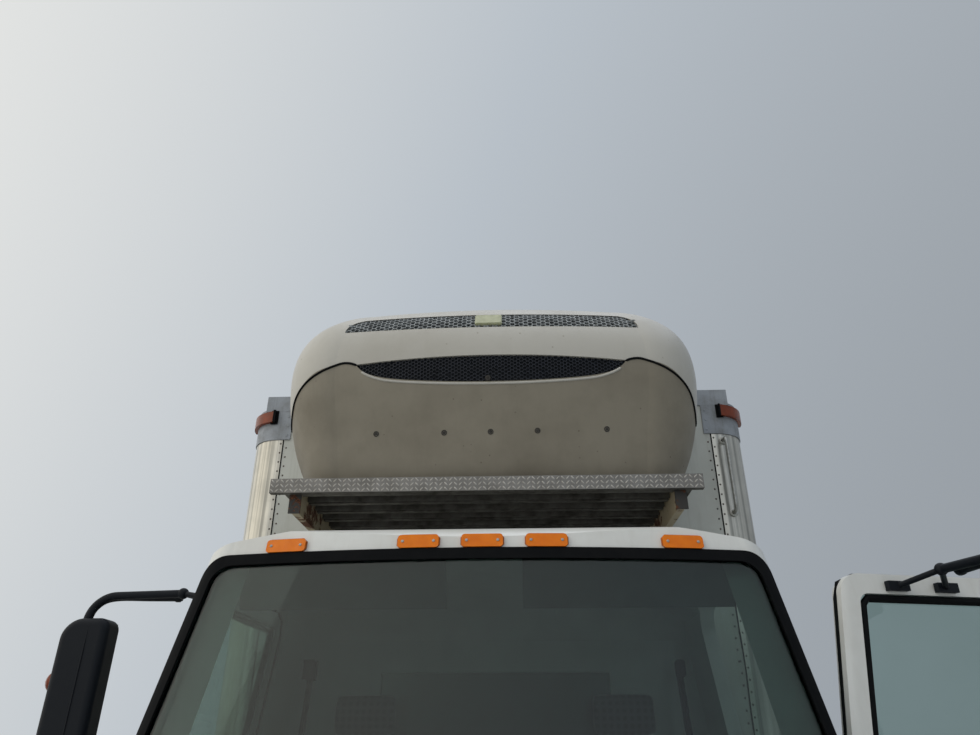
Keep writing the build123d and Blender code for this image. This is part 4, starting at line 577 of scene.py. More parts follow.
def smooth_path(points, steps=6):
    """A path through the points with its corners rounded, as a Catmull-Rom curve."""
    inner = [Vector(point) for point in points]
    ends = [inner[0]] + inner + [inner[-1]]
    path = []
    for a, b, c, d in zip(ends, ends[1:], ends[2:], ends[3:]):
        for step in range(steps):
            t = step / steps
            path.append(0.5 * (2 * b + (c - a) * t + (2 * a - 5 * b + 4 * c - d) * t ** 2
                               + (3 * b - a - 3 * c + d) * t ** 3))
    return path + [inner[-1]]


print("hardware helpers ready")

# %% [markdown]
# Rivets, tread bars, perforations, tyre blocks and wheel nuts all repeat, so Geometry Nodes place
# them. Each tree has named inputs, and one helper runs a tree on a host mesh and keeps only the
# plain mesh that comes out.

# %% Helpers for what repeats
def start_tree(name, **named_inputs):
    """A node tree with a Geometry input and output and further inputs by label and socket kind."""
    tree = bpy.data.node_groups.new(name, "GeometryNodeTree")
    sockets = [("Geometry", "INPUT", "Geometry"), ("Geometry", "OUTPUT", "Geometry")]
    sockets += [(label.replace("_", " "), "INPUT", kind) for label, kind in named_inputs.items()]
    for label, way, kind in sockets:
        tree.interface.new_socket(label, in_out=way, socket_type="NodeSocket" + kind)
    return tree, tree.nodes.new("NodeGroupInput").outputs


def end_tree(tree, given, points, instance, **turn):
    """Sets an instance on each point and ends with real meshes that carry their material."""
    inputs = {"Points": points, "Instance": instance, **turn}
    placed = add(tree, "GeometryNodeInstanceOnPoints", inputs)
    real = add(tree, "GeometryNodeRealizeInstances", {"Geometry": placed})
    coated = add(tree, "GeometryNodeSetMaterial", {"Geometry": real, "Material": given["Finish"]})
    add(tree, "NodeGroupOutput", {"Geometry": coated})


def bake_mesh(piece):
    """Replaces a piece's mesh by what its modifiers make of it, and drops them."""
    bpy.context.view_layer.update()
    ready = piece.evaluated_get(bpy.context.evaluated_depsgraph_get())
    result = bpy.data.meshes.new_from_object(ready)
    piece.modifiers.clear()
    piece.data = result
    return result


def host_mesh(name, points, edges=(), faces=()):
    """A bare mesh that a tree grows on."""
    mesh = bpy.data.meshes.new(name)
    mesh.from_pydata([tuple(point) for point in points], list(edges), list(faces))
    return mesh


def grow(name, tree, host, body, **values):
    """Runs a tree on a host mesh with its inputs set by name; the plain result rides on a body."""
    piece = show(name, host)
    runner = piece.modifiers.new("grow", "NODES")
    runner.node_group = tree
    for item in tree.interface.items_tree:
        label = item.name.replace(" ", "_")
        if item.in_out == "INPUT" and label in values:
            runner[item.identifier] = values[label]
    result = bake_mesh(piece)
    result.name = name
    result.shade_smooth()
    result.set_sharp_from_angle(angle=SHARP_FROM)
    print(name, len(result.polygons), "faces")
    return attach(piece, body)


# %% [markdown]
# The box skin is riveted to its posts and rails. A tree turns the seam lines into curves, resamples
# them at the rivet pitch and sets a low dome on every point. A sphere sunk to near its top makes
# the dome, so it needs no turn.

# %% Rivet tree
rivet_tree, given = start_tree("rivets_on_seams", Pitch="Float", Radius="Float", Finish="Material")
seams = add(rivet_tree, "GeometryNodeMeshToCurve", {"Mesh": given["Geometry"]})
spaced = add(rivet_tree, "GeometryNodeResampleCurve", {"Curve": seams, "Length": given["Pitch"]},
             mode="LENGTH")
dome = add(rivet_tree, "GeometryNodeMeshUVSphere",
           {"Segments": 8, "Rings": 5, "Radius": given["Radius"]})
end_tree(rivet_tree, given, spaced, dome)


def rivet_lines(name, lines, pitch, radius, finish, body):
    """Rivets along straight lines, each given as two ends."""
    points = [end for line in lines for end in line]
    edges = [(2 * number, 2 * number + 1) for number in range(len(lines))]
    return grow(name, rivet_tree, host_mesh(name + "_lines", points, edges), body,
                Pitch=pitch, Radius=radius, Finish=finish)


WALL_Y, BOX_HALF = 0.56, 1.219
SEAM_X, SEAM_Y, SEAM_ENDS = 1.045, WALL_Y - 0.0005, (1.015, 3.0)
# Each row of rivets by its distance from the middle and its start; the second row is staggered
ROWS, ROW_Y, ROW_ENDS = ((1.057, 0.0), (1.028, 0.025)), WALL_Y + 0.003, (1.04, 2.97)
front_rivets = [[(side * x, ROW_Y, z + shift) for z in ROW_ENDS]
                for side in (-1, 1) for x, shift in ROWS]
# The front wall rivets take the dark nut finish: dark dots of painted shade round each rivet head
rivet_lines("front_wall_rivets", front_rivets, 0.046, 0.0058, nut_steel_and_rivet_shade, "chassis")

form = bmesh.new()
for side in (-1, 1):
    bar(form, [(side * SEAM_X, SEAM_Y, z) for z in SEAM_ENDS], 0.0032, 6)
as_piece("front_seam_sealant", form, seal_rubber)

# %% [markdown]
# The long sides are panels butted under cover strips, held between a bottom rail and a top rail.
# Each strip is a thin slab with eased edges, riveted along both of its edges.

# %% Side rails, cover strips and their rivets
SIDE_FRONT, SIDE_REAR = 0.72, 5.345
RAILS, RAIL_PROUD = ((1.012, 1.118), (3.062, 3.136)), 0.004
STRIP_HALF, STRIP_PROUD = 0.036, 0.0022
strip_y = [SIDE_FRONT + (SIDE_REAR - SIDE_FRONT) * share for share in (0.25, 0.5, 0.75)]
form = bmesh.new()
side_rivets = []
for side in (-1, 1):
    face = side * BOX_HALF
    back, rail_x, strip_x = face - side * 0.001, face + side * RAIL_PROUD, face + side * STRIP_PROUD
    for low, high in RAILS:
        slab(form, (back, SIDE_FRONT, low), (rail_x, SIDE_REAR, high), 1.5)
        for z in (low + 0.014, high - 0.014):
            side_rivets.append([(rail_x, SIDE_FRONT + 0.05, z), (rail_x, SIDE_REAR - 0.03, z)])
    for y in strip_y:
        slab(form, (back, y - STRIP_HALF, RAILS[0][1]), (strip_x, y + STRIP_HALF, RAILS[1][0]), 0.8)
        for edge in (y - 0.024, y + 0.024):
            side_rivets.append([(strip_x, edge, 1.14), (strip_x, edge, 3.05)])
as_piece("box_side_rails", form, rail_metal)
rivet_lines("box_side_rivets", side_rivets, 0.075, 0.0055, zinc_metal, "chassis")

# %% [markdown]
# Both corner castings and the header between them are one grey line of castings on the real box.
# The header gets its grey cover here, a thin folded plate with eased edges that laps over the roof
# sheet, and each corner lamp sits in a dark bezel.

# %% Header cover and corner blocks
FRONT = (0, -1, 0)
form = bmesh.new()
slab(form, (-1.150, 0.5545, 3.1385), (1.150, 0.5620, 3.2225), 1.0)
slab(form, (-1.058, 0.5600, 3.1410), (1.058, 0.5920, 3.2225), 2.0)
slab(form, (-1.058, 0.5750, 3.2160), (1.058, 0.70, 3.2255), 3.0)
for side in (-1, 1):
    slab(form, (side * 1.013, 0.5545, 2.9905), (side * 1.0475, 0.5602, 3.1400), 1.0)
    for z in (3.012, 3.062, 3.112):
        lathe(form, [(0.0055, 0.0), (0.0050, 0.0014), (0.0026, 0.0026)],
              (side * 1.030, 0.5546, z), FRONT, 10)
as_piece("header_cover", form, cap_grey)

form = bmesh.new()
for side in (-1, 1):
    slab(form, (side * 1.095, 0.5330, 3.078), (side * 1.1045, 0.5560, 3.1395), 1.5)
    slab(form, (side * 1.085, 0.5525, 3.073), (side * 1.120, 0.5560, 3.1425), 1.0)
as_piece("corner_lamp_bezels", form, seal_rubber)

# %% [markdown]
# A person who climbs to the catwalk holds a rail on the front wall. It is a bent steel bar on two
# flanged feet, so a bar along a rounded path and two turned flanges make it.

# %% Grab rail
RAIL_X, RAIL_OUT, RAIL_ENDS = 1.100, 0.050, (2.955, 2.600)
# Each point of the bend: how far out it is, as a share, and its height
BENDS = ((0, 2.955), (0.8, 2.950), (1, 2.90), (1, 2.78), (1, 2.655), (0.8, 2.605), (0, 2.600))
form = bmesh.new()
rail_path = smooth_path([(RAIL_X, WALL_Y - RAIL_OUT * out, z) for out, z in BENDS], 5)
bar(form, rail_path, 0.0085, 10)
for z in RAIL_ENDS:
    lathe(form, [(0.020, 0.0), (0.020, 0.004), (0.017, 0.006), (0.011, 0.007), (0.0095, 0.014)],
          (RAIL_X, WALL_Y + 0.001, z), FRONT, 18)
as_piece("wall_grab_rail", form, zinc_metal)

# %% [markdown]
# The catwalk is made of tread plate: short lens-shaped bars, raised by the rolls and turned one way
# and the other in turn. The tree sets one bar on each point of a grid, along the surface's normal,
# and turns every second one.

# %% Tread plate tree
tread_tree, given = start_tree("tread_bars", Columns="Int", Bar_Size="Vector", Finish="Material")
lens = add(tread_tree, "GeometryNodeMeshUVSphere", {"Segments": 6, "Rings": 4, "Radius": 0.5})
lens_bar = add(tread_tree, "GeometryNodeTransform",
               {"Geometry": lens, "Scale": given["Bar Size"]})
normal = add(tread_tree, "GeometryNodeInputNormal")
stand = add(tread_tree, "FunctionNodeAlignRotationToVector", {"Vector": normal}, axis="Z")
index = add(tread_tree, "GeometryNodeInputIndex")
row = sums(tread_tree, "FLOOR", sums(tread_tree, "DIVIDE", index, given["Columns"]))
odd = sums(tread_tree, "MODULO", sums(tread_tree, "ADD", row, index), 2.0)
angle = sums(tread_tree, "MULTIPLY_ADD", odd, math.pi / 2, -math.pi / 4)
turn = add(tread_tree, "ShaderNodeCombineXYZ", {"Z": angle})
turned = add(tread_tree, "FunctionNodeRotateRotation", {"Rotation": stand, "Rotate By": turn},
             rotation_space="LOCAL")
end_tree(tread_tree, given, given["Geometry"], lens_bar, Rotation=turned)


def tread_plate(name, corner, across, along, pitch, bar_size):
    """Tread bars on a flat rectangle given by one corner and its two sides."""
    across, along = Vector(across), Vector(along)
    columns, rows = int(across.length / pitch), max(2, int(along.length / pitch))
    points = [Vector(corner) + across * ((c + 0.5) / columns) + along * ((r + 0.5) / rows)
              for r in range(rows) for c in range(columns)]
    starts = [r * columns + c for r in range(rows - 1) for c in range(columns - 1)]
    faces = [(s, s + 1, s + columns + 1, s + columns) for s in starts]
    return grow(name, tread_tree, host_mesh(name + "_grid", points, (), faces), "chassis",
                Columns=columns, Bar_Size=bar_size, Finish=crest_metal)


DECK_LEFT, DECK_FRONT, DECK_TOP = DECK_LOW[0], DECK_LOW[1], DECK_HIGH[2]
TOP_REACH, FASCIA = 0.62, 0.056
whole_width = (DECK_HIGH[0] - DECK_LEFT, 0, 0)
tread_plate("catwalk_tread_top", (DECK_LEFT, DECK_FRONT, DECK_TOP), whole_width, (0, TOP_REACH, 0),
            0.030, (0.026, 0.0075, 0.0036))
tread_plate("catwalk_tread_fascia", (DECK_LEFT, DECK_FRONT, DECK_TOP - FASCIA), whole_width,
            (0, 0, FASCIA), 0.0185, (0.0195, 0.0058, 0.0034))

# %% [markdown]
# The unit's shell is doubly curved, so what sits on it is placed by rays. A search tree over the
# two solids tells where a ray along the truck meets the shell, and which way the surface faces
# there.

# %% Rays onto the unit
RAY_START_Y = -2


def search_tree(*names):
    """A search tree over some solids of the frame."""
    points, faces = [], []
    for name in names:
        mesh = nodes[name].data
        faces += [[index + len(points) for index in p.vertices] for p in mesh.polygons]
        points += [vertex.co.copy() for vertex in mesh.vertices]
    return BVHTree.FromPolygons(points, faces)


def on_surface(tree, start, direction, lift=0.0):
    """Where a ray meets the surface, lifted off it, and the normal, turned against the ray."""
    place, normal, _, _ = tree.ray_cast(Vector(start), Vector(direction).normalized())
    if normal.dot(Vector(direction)) > 0:
        normal = -normal
    return place + normal * lift, normal


def from_front(tree, x, z, lift=0.0):
    """Where a level ray from in front of the truck meets the surface, and the normal there."""
    return on_surface(tree, (x, RAY_START_Y, z), (0, 1, 0), lift)


def facing(place, normal):
    """A matrix that stands a flat form on a surface."""
    return Matrix.Translation(place) @ normal.to_track_quat("Z", "Y").to_matrix().to_4x4()


unit_tree = search_tree("unit_housing", "unit_front_panel")
grille_tree = search_tree("unit_grilles")
print("unit front at the middle", round(from_front(unit_tree, 0, 2.8)[0].y, 3))

# %% [markdown]
# Seam, screws, latch and blank plate: the lower panel meets the shell in a rubber-filled joint that
# arches over the lower grille's corners. The panel's upper edge is rolled forward under the grille
# and catches the light. Five screws in plastic cups hold the panel; the cups show as dark dots.

# %% Seam, screw cups, latch and blank plate
SEAM_ARCH = ((0.548, 3.052), (0.580, 3.066), (0.618, 3.070), (0.667, 3.056), (0.740, 3.026),
             (0.796, 2.992), (0.832, 2.955), (0.853, 2.905), (0.866, 2.855))
form = bmesh.new()
for side in (-1, 1):
    route = [from_front(unit_tree, side * x, z, 0.0005)[0] for x, z in smooth_path(SEAM_ARCH, 4)]
    bar(form, route, [0.0025] + [0.0052] * (len(route) - 2) + [0.003], 8)
as_piece("unit_panel_seam", form, seal_rubber)

GRILLE_LIP = ((0.080, 2.9645), (0.220, 2.9700), (0.350, 2.9800), (0.440, 2.9925), (0.500, 3.0125),
              (0.536, 3.033))
form = bmesh.new()
lip = [(-x, z) for x, z in reversed(GRILLE_LIP)] + list(GRILLE_LIP)
route = [from_front(unit_tree, x, z - 0.007, -0.001)[0] for x, z in smooth_path(lip, 5)]
bar(form, route, [0.0015] + [0.0055] * (len(route) - 2) + [0.0015], 12)
# The roll takes the shell's lighter finish, not the panel's, so the lip shows as a bright band:
# painted highlight
as_piece("unit_grille_roll", form, unit_shell)

SCREWS = ((-0.466, 2.773), (-0.188, 2.767), (-0.001, 2.767), (0.187, 2.770), (0.466, 2.779))
form, heads = bmesh.new(), bmesh.new()
for x, z in SCREWS:
    place, normal = from_front(unit_tree, x, z, -0.002)
    lathe(form, [(0.0115, 0.0), (0.0115, 0.0036), (0.0095, 0.0046), (0.0080, 0.0042),
                 (0.0072, 0.0016)], place, normal, 20)
    lathe(heads, [(0.0062, 0.0), (0.0062, 0.0026), (0.0045, 0.0034), (0.0018, 0.0036)],
          place, normal, 12)
as_piece("panel_screw_cups", form, cup_plastic)
as_piece("panel_screw_heads", heads, cup_plastic)

MIDDLE_X, LATCH_Z, PLATE_Z = -0.009, 2.981, 3.279
form = bmesh.new()
lathe(form, [(0.012, 0.0), (0.012, 0.010), (0.010, 0.013), (0.005, 0.0135), (0.004, 0.012)],
      *from_front(grille_tree, MIDDLE_X, LATCH_Z, 0.006), 20)
as_piece("unit_panel_latch", form, cup_plastic)

form = bmesh.new()
slab(form, (-0.058, -0.040, -0.014), (0.058, 0.040, 0.003), 4.0,
     facing(*from_front(grille_tree, MIDDLE_X, PLATE_Z, 0.012)))
as_piece("unit_blank_plate", form, pale_plate)

# %% [markdown]
# Both grilles are moulded honeycomb. The tree casts a ray from each point of a hexagonal grid onto
# the solid grille and keeps the points that hit. A thin ring with six sides stands on each, turned
# to the surface.

# %% Honeycomb tree
comb_tree, given = start_tree("honeycomb", Cell="Float", Wall="Float", Depth="Float", Lift="Float",
                              Target="Object", Finish="Material")
target = add(comb_tree, "GeometryNodeObjectInfo", {"Object": given["Target"]},
             transform_space="ORIGINAL").outputs["Geometry"]
ray = add(comb_tree, "GeometryNodeRaycast", {"Target Geometry": target, "Ray Length": 5.0,
                                             "Ray Direction": (0.0, 1.0, 0.0)}).outputs
missed = add(comb_tree, "FunctionNodeBooleanMath", {0: ray["Is Hit"]}, operation="NOT")
kept = add(comb_tree, "GeometryNodeDeleteGeometry",
           {"Geometry": given["Geometry"], "Selection": missed}, domain="POINT")
lifted = add(comb_tree, "ShaderNodeVectorMath", {0: ray["Hit Normal"], "Scale": given["Lift"]},
             operation="SCALE")
landing = add(comb_tree, "ShaderNodeVectorMath", {0: ray["Hit Position"], 1: lifted},
              operation="ADD")
landed = add(comb_tree, "GeometryNodeSetPosition", {"Geometry": kept, "Position": landing})
outward = add(comb_tree, "FunctionNodeAlignRotationToVector", {"Vector": ray["Hit Normal"]},
              axis="Z")
ring = add(comb_tree, "GeometryNodeCurvePrimitiveCircle",
           {"Resolution": 6, "Radius": given["Cell"]})
wall = add(comb_tree, "GeometryNodeCurvePrimitiveQuadrilateral",
           {"Width": given["Wall"], "Height": given["Depth"]})
cell = add(comb_tree, "GeometryNodeCurveToMesh", {"Curve": ring, "Profile Curve": wall})
end_tree(comb_tree, given, landed, cell, Rotation=outward)


def honeycomb(name, centre_z, half_width, half_height, finish, cell, **sizes):
    """Honeycomb cells over one of the unit's grilles."""
    step_x, step_z = cell * 1.5, cell * math.sqrt(3)
    columns, rows = int(half_width / step_x), int(half_height / step_z) + 1
    points = [(column * step_x, -1.0, centre_z + (row + 0.5 * (column % 2)) * step_z)
              for column in range(-columns, columns + 1) for row in range(-rows, rows + 1)]
    return grow(name, comb_tree, host_mesh(name + "_grid", points), "chassis", Cell=cell,
                Target=nodes["unit_grilles"], Finish=finish, **sizes)


honeycomb("upper_grille_comb", 3.28, 0.63, 0.06, comb_bright, 0.0125,
          Wall=0.0026, Depth=0.010, Lift=0.003)
honeycomb("lower_grille_comb", 3.03, 0.57, 0.06, comb_navy, 0.0085,
          Wall=0.0022, Depth=0.008, Lift=0.003)

# %% [markdown]
# Each roof lamp is a lens on a black base, with a rim and two screws. The lens is the solid; the
# rim and screws are added where rays from the front meet it.

# %% Roof lamp rims and screws
LAMP_XS, LAMP_Z, LAMP_SCREW = (-0.555, -0.177, 0.0, 0.177, 0.555), 2.153, 0.043
# The rim's loop about the lamp's middle: the lens's edge, a millimetre out, with cut corners
RIM_W, RIM_H, RIM_CUT_W, RIM_CUT_H = 0.058, 0.0195, 0.048, 0.0095
RIM = ((-RIM_CUT_W, -RIM_H), (RIM_CUT_W, -RIM_H), (RIM_W, -RIM_CUT_H), (RIM_W, RIM_CUT_H),
       (RIM_CUT_W, RIM_H), (-RIM_CUT_W, RIM_H), (-RIM_W, RIM_CUT_H), (-RIM_W, -RIM_CUT_H),
       (-RIM_CUT_W, -RIM_H))
lamp_tree = search_tree("roof_lamps", "cab_roof", "cab_body")
form, heads = bmesh.new(), bmesh.new()
for x in LAMP_XS:
    bar(form, [from_front(lamp_tree, x + dx, LAMP_Z + dz, 0.001)[0] for dx, dz in RIM], 0.0026, 6)
    for screw_x in (x - LAMP_SCREW, x + LAMP_SCREW):
        lathe(heads, [(0.0042, 0.0), (0.0042, 0.0022), (0.003, 0.0034), (0.001, 0.0036)],
              *from_front(lamp_tree, screw_x, LAMP_Z, -0.001), 10)
as_piece("roof_lamp_rims", form, lens_rim, "cab")
as_piece("roof_lamp_screws", heads, zinc_metal, "cab")

# %% [markdown]
# A truck tyre is a smooth carcass with a separate band of tread. The carcass here is its real
# cross-section turned about the axle, lower than the solid by the tread's depth, and the tree sets
# five rows of rubber blocks round it, each turned to face outwards.

# %% Tyres
block_tree, given = start_tree("tread_blocks", Axle="Vector", Block_Size="Vector",
                               Finish="Material")
spot = add(block_tree, "GeometryNodeInputPosition")
arm = add(block_tree, "ShaderNodeVectorMath", {0: spot, 1: given["Axle"]}, operation="SUBTRACT")
radial = add(block_tree, "ShaderNodeVectorMath", {0: arm, 1: (0.0, 1.0, 1.0)},
             operation="MULTIPLY")
outward = add(block_tree, "FunctionNodeAlignRotationToVector", {"Vector": radial},
              axis="Z", pivot_axis="X")
block = add(block_tree, "GeometryNodeMeshCube", {"Size": given["Block Size"]})
end_tree(block_tree, given, given["Geometry"], block, Rotation=outward)

AXLE_Z = 0.385
TREAD_ROWS, TREAD_PITCHES = (-0.072, -0.036, 0.0, 0.036, 0.072), 56
# The crown of the blocks falls by the drop from the middle to half the tread's width
CROWN, CROWN_DROP, TREAD_HALF = 0.3790, 0.0090, 0.0895
BLOCK_SIZE = (0.0275, 0.0365, 0.012)
CARCASS = [(0.0697, 0.2175), (0.0697, 0.2034), (-0.0697, 0.2034), (-0.0697, 0.2175),
           (-0.088, 0.231), (-0.0895, 0.236), (-0.0915, 0.236), (-0.1045, 0.272), (-0.1078, 0.300),
           (-0.1055, 0.328), (-0.1010, 0.346), (-0.1020, 0.352), (-0.0955, 0.366),
           (-0.0800, 0.3715), (-0.040, 0.3750), (0.0, 0.3762)]
CARCASS += [(-x, r) for x, r in reversed(CARCASS[4:-1])]


def on_wheel(x, axle_y, radius, angle):
    """A point at a radius and an angle about an axle."""
    return x, axle_y + radius * math.cos(angle), AXLE_Z + radius * math.sin(angle)


def tyre_piece(name, body, solid, centres, axle_y):
    """The tyres of one wheel: their carcass stands for the solid, their blocks ride with it."""
    form = bmesh.new()
    spots = []
    for centre_x in centres:
        rings = [[form.verts.new(on_wheel(centre_x + x, axle_y, r, a)) for a in circle(64)]
                 for x, r in CARCASS]
        skin(form, rings + rings[:1])
        for number, x in enumerate(TREAD_ROWS):
            radius = CROWN - CROWN_DROP * (x / TREAD_HALF) ** 2
            shift = math.pi * (number % 2) / TREAD_PITCHES
            spots += [on_wheel(centre_x + x, axle_y, radius, a + shift)
                      for a in circle(TREAD_PITCHES)]
    carcass = as_piece(name + "_carcass", form, tyre_rubber, body)
    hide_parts(solid)
    grow(name + "_blocks", block_tree, host_mesh(name + "_spots", spots), body,
         Axle=(0.0, axle_y, AXLE_Z), Block_Size=BLOCK_SIZE, Finish=tyre_rubber)


nut_tree, given = start_tree("nuts_on_studs", Radius="Float", Height="Float", Finish="Material")
hexagon = add(nut_tree, "GeometryNodeMeshCylinder",
              {"Vertices": 6, "Radius": given["Radius"], "Depth": given["Height"]})
quarter_turn = add(nut_tree, "GeometryNodeTransform",
                   {"Geometry": hexagon, "Rotation": (0.0, math.pi / 2, 0.0)})
end_tree(nut_tree, given, given["Geometry"], quarter_turn)

FRONT_TRACK, REAR_TRACK, REAR_AXLE_Y, DUAL = 1.640, 1.650, 3.810, 0.250
STUDS, STUD_RADIUS, NUT_LIFT, OUTSIDE_X = 6, 0.098, 0.008, 1.3
for side, name in SIDES:
    tyre_piece("front_tyre_" + name, "front_wheel_" + name, "front_tyre_" + name,
               [side * FRONT_TRACK / 2], 0.0)
    tyre_piece("rear_tyre_" + name, "rear_wheels_" + name, "rear_tyres_" + name,
               [side * (REAR_TRACK - DUAL) / 2, side * (REAR_TRACK + DUAL) / 2], REAR_AXLE_Y)
    for wheel, axle_y in (("front_wheel_" + name, 0.0), ("rear_wheels_" + name, REAR_AXLE_Y)):
        tree = search_tree(wheel)
        studs = [on_surface(tree, on_wheel(side * OUTSIDE_X, axle_y, STUD_RADIUS, a + math.pi / 6),
                            (-side, 0, 0), NUT_LIFT)[0] for a in circle(STUDS)]
        grow(wheel + "_nuts", nut_tree, host_mesh(wheel + "_studs", studs), wheel,
             Radius=0.017, Height=0.019, Finish=nut_steel_and_rivet_shade)
print("tyres and nuts on four wheel bodies")

# %% [markdown]
# Outside the rails hang the tank, the battery box and the silencer. Tank and battery box are held
# by straps, and a strap is a thin band, so it is the outline of what it holds, a little larger.

# %% Straps under the box
STRAP_THICK, STRAP_SUNK, STRAP_HALF, STRAP_SHARES = 0.003, -0.001, 0.016, (0.22, 0.78)
CORNER_STEPS = 4


def strap_round(form, low, high, y, ease):
    """A steel band round a solid's section at y, as a closed loop on a rounded rectangle."""
    path = []
    for turn, (sx, sz) in enumerate(((1, 1), (-1, 1), (-1, -1), (1, -1))):
        centre_x = high[0] - ease if sx > 0 else low[0] + ease
        centre_z = high[2] - ease if sz > 0 else low[2] + ease
        for step in range(CORNER_STEPS + 1):
            a = (turn + step / CORNER_STEPS) * math.pi / 2
            path.append((centre_x, centre_z, math.cos(a), math.sin(a)))
    corners = ((-STRAP_HALF, STRAP_SUNK), (-STRAP_HALF, STRAP_THICK),
               (STRAP_HALF, STRAP_THICK), (STRAP_HALF, STRAP_SUNK))
    loops = [[form.verts.new((x + nx * (ease + out), y + dy, z + nz * (ease + out)))
              for x, z, nx, nz in path] for dy, out in corners]
    skin(form, loops + loops[:1])


form = bmesh.new()
for name, ease in (("fuel_tank", 0.05), ("battery_box", 0.02)):
    low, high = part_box(name)
    for share in STRAP_SHARES:
        strap_round(form, low, high, low[1] + share * (high[1] - low[1]), ease)
as_piece("tank_and_battery_straps", form, zinc_metal)

# %% [markdown]
# The doors carry their own seals, mirrors and inner trim. All of it is made as on a shut door. A
# turn about the hinge pins then brings the left door's pieces to where that door stands open. The
# inner card stays clear of the dashboard's end, which it passes when the door shuts.

# %% Door seals and inner cards
HINGE_X, HINGE_Y, OPEN_DEGREES = 0.923, -0.790, 77.0
to_pins = Matrix.Translation((HINGE_X, HINGE_Y, 0))
hang = {-1: Matrix.Identity(4),
        1: to_pins @ Matrix.Rotation(math.radians(-OPEN_DEGREES), 4, "Z") @ to_pins.inverted()}
BELT_Z, SKIN_X, LEAN = 1.330, 0.912, 0.134


def door_piece(name, form, finish, side):
    """A piece made as on the shut door, turned with it."""
    side_name = dict(SIDES)[side]
    bmesh.ops.transform(form, matrix=hang[side], verts=form.verts)
    return as_piece(name + "_" + side_name, form, finish, "cab_door_" + side_name)


def door_bar(name, side, inset, edge, radius, sides):
    """A rubber along an outline (y, z) on the door, upright to the belt and leaning above it."""
    form = bmesh.new()
    bar(form, [(side * (SKIN_X - LEAN * max(0.0, z - BELT_Z) - inset), y, z) for y, z in edge],
        radius, sides)
    door_piece(name, form, seal_rubber, side)


FRAME_EDGE = ((-0.7835, 1.36), (-0.7835, 1.64), (-0.694, 2.018), (-0.676, 2.060),
              (-0.622, 2.0835), (-0.03, 2.0835), (0.034, 2.061), (0.0595, 1.998), (0.0595, 1.36))
PANE_EDGE = ((-0.700, 1.384), (-0.716, 1.410), (-0.716, 1.652), (-0.629, 1.998),
             (-0.608, 2.017), (-0.030, 2.017), (-0.010, 1.997), (-0.010, 1.404), (-0.030, 1.384),
             (-0.700, 1.384))
INNER_X = 0.862
# Card below and behind the dashboard, armrest and pocket: (y, z) corners, (inset, depth), ease
CARD_SLABS = (
    ((-0.735, 0.905), (0.020, 1.118), (0.0, 0.010), 6.0),
    ((-0.368, 1.100), (0.020, 1.335), (0.0, 0.010), 6.0),
    ((-0.36, 1.120), (-0.06, 1.165), (0.008, 0.058), 14.0),
    ((-0.48, 0.940), (-0.12, 1.030), (0.008, 0.030), 8.0),
)
SPEAKER = [(0.075, 0.0), (0.075, 0.004), (0.068, 0.008), (0.060, 0.004), (0.02, 0.003)]
PULL = ((0.012, -0.30, 1.225), (0.052, -0.285, 1.228), (0.054, -0.20, 1.232),
        (0.052, -0.115, 1.236), (0.012, -0.10, 1.239))
for side, _ in SIDES:
    door_bar("door_edge_seal", side, 0.0295, FRAME_EDGE, 0.0062, 8)
    door_bar("door_pane_seal", side, 0.012, PANE_EDGE, 0.0115, 10)
    form = bmesh.new()
    for low, high, (near, far), ease in CARD_SLABS:
        slab(form, (side * (INNER_X - near), *low), (side * (INNER_X - far), *high), ease)
    lathe(form, SPEAKER, (side * (INNER_X - 0.010), -0.61, 1.02), (-side, 0, 0), 28)
    door_piece("door_card", form, grey_plastic, side)
    form = bmesh.new()
    slab(form, (side * (INNER_X - 0.009), -0.355, 1.272), (side * (INNER_X - 0.022), -0.245, 1.312),
         6.0)
    bar(form, smooth_path([(side * (INNER_X - out), y, z) for out, y, z in PULL], 4), 0.0095, 10)
    door_piece("door_inner_handles", form, black_plastic, side)

# %% [markdown]
# A truck mirror is a deep shell with two glasses on its back, one flat and one wide-angle. The
# shell's front has a cover with a shadow line, and the arm runs in a plastic sleeve between the
# bend and the clamp.

# %% Mirror glasses, sleeves and covers
GLASS_X, GLASS_Z, BEZEL_OUT = (1.152, 1.271), ((1.748, 1.980), (1.612, 1.728)), 0.004
GLASS_BACK, GLASS_FACE, BEZEL_Y = -0.455, -0.4495, -0.4515
SLEEVE = ((0.985, -0.437, 2.0692), (1.06, -0.4515, 2.0676), (1.145, -0.469, 2.066),
          (1.190, -0.478, 2.055), (1.218, -0.484, 2.026), (1.228, -0.487, 1.985))
COLLAR = [(0.0132, 0.0), (0.0158, 0.001), (0.0158, 0.014), (0.0132, 0.016), (0.0122, 0.020)]
SHADOW_LINE = ((1.196, -0.5262, 1.612), (1.196, -0.5275, 1.70), (1.196, -0.5275, 1.90),
               (1.196, -0.5262, 1.978))
REFLECTOR = [(0.016, -0.012), (0.030, 0.0), (0.032, 0.010), (0.027, 0.019), (0.014, 0.024),
             (0.004, 0.025)]


def mirrored(side, points):
    """The same points on the truck's left or right."""
    return [(side * x, y, z) for x, y, z in points]


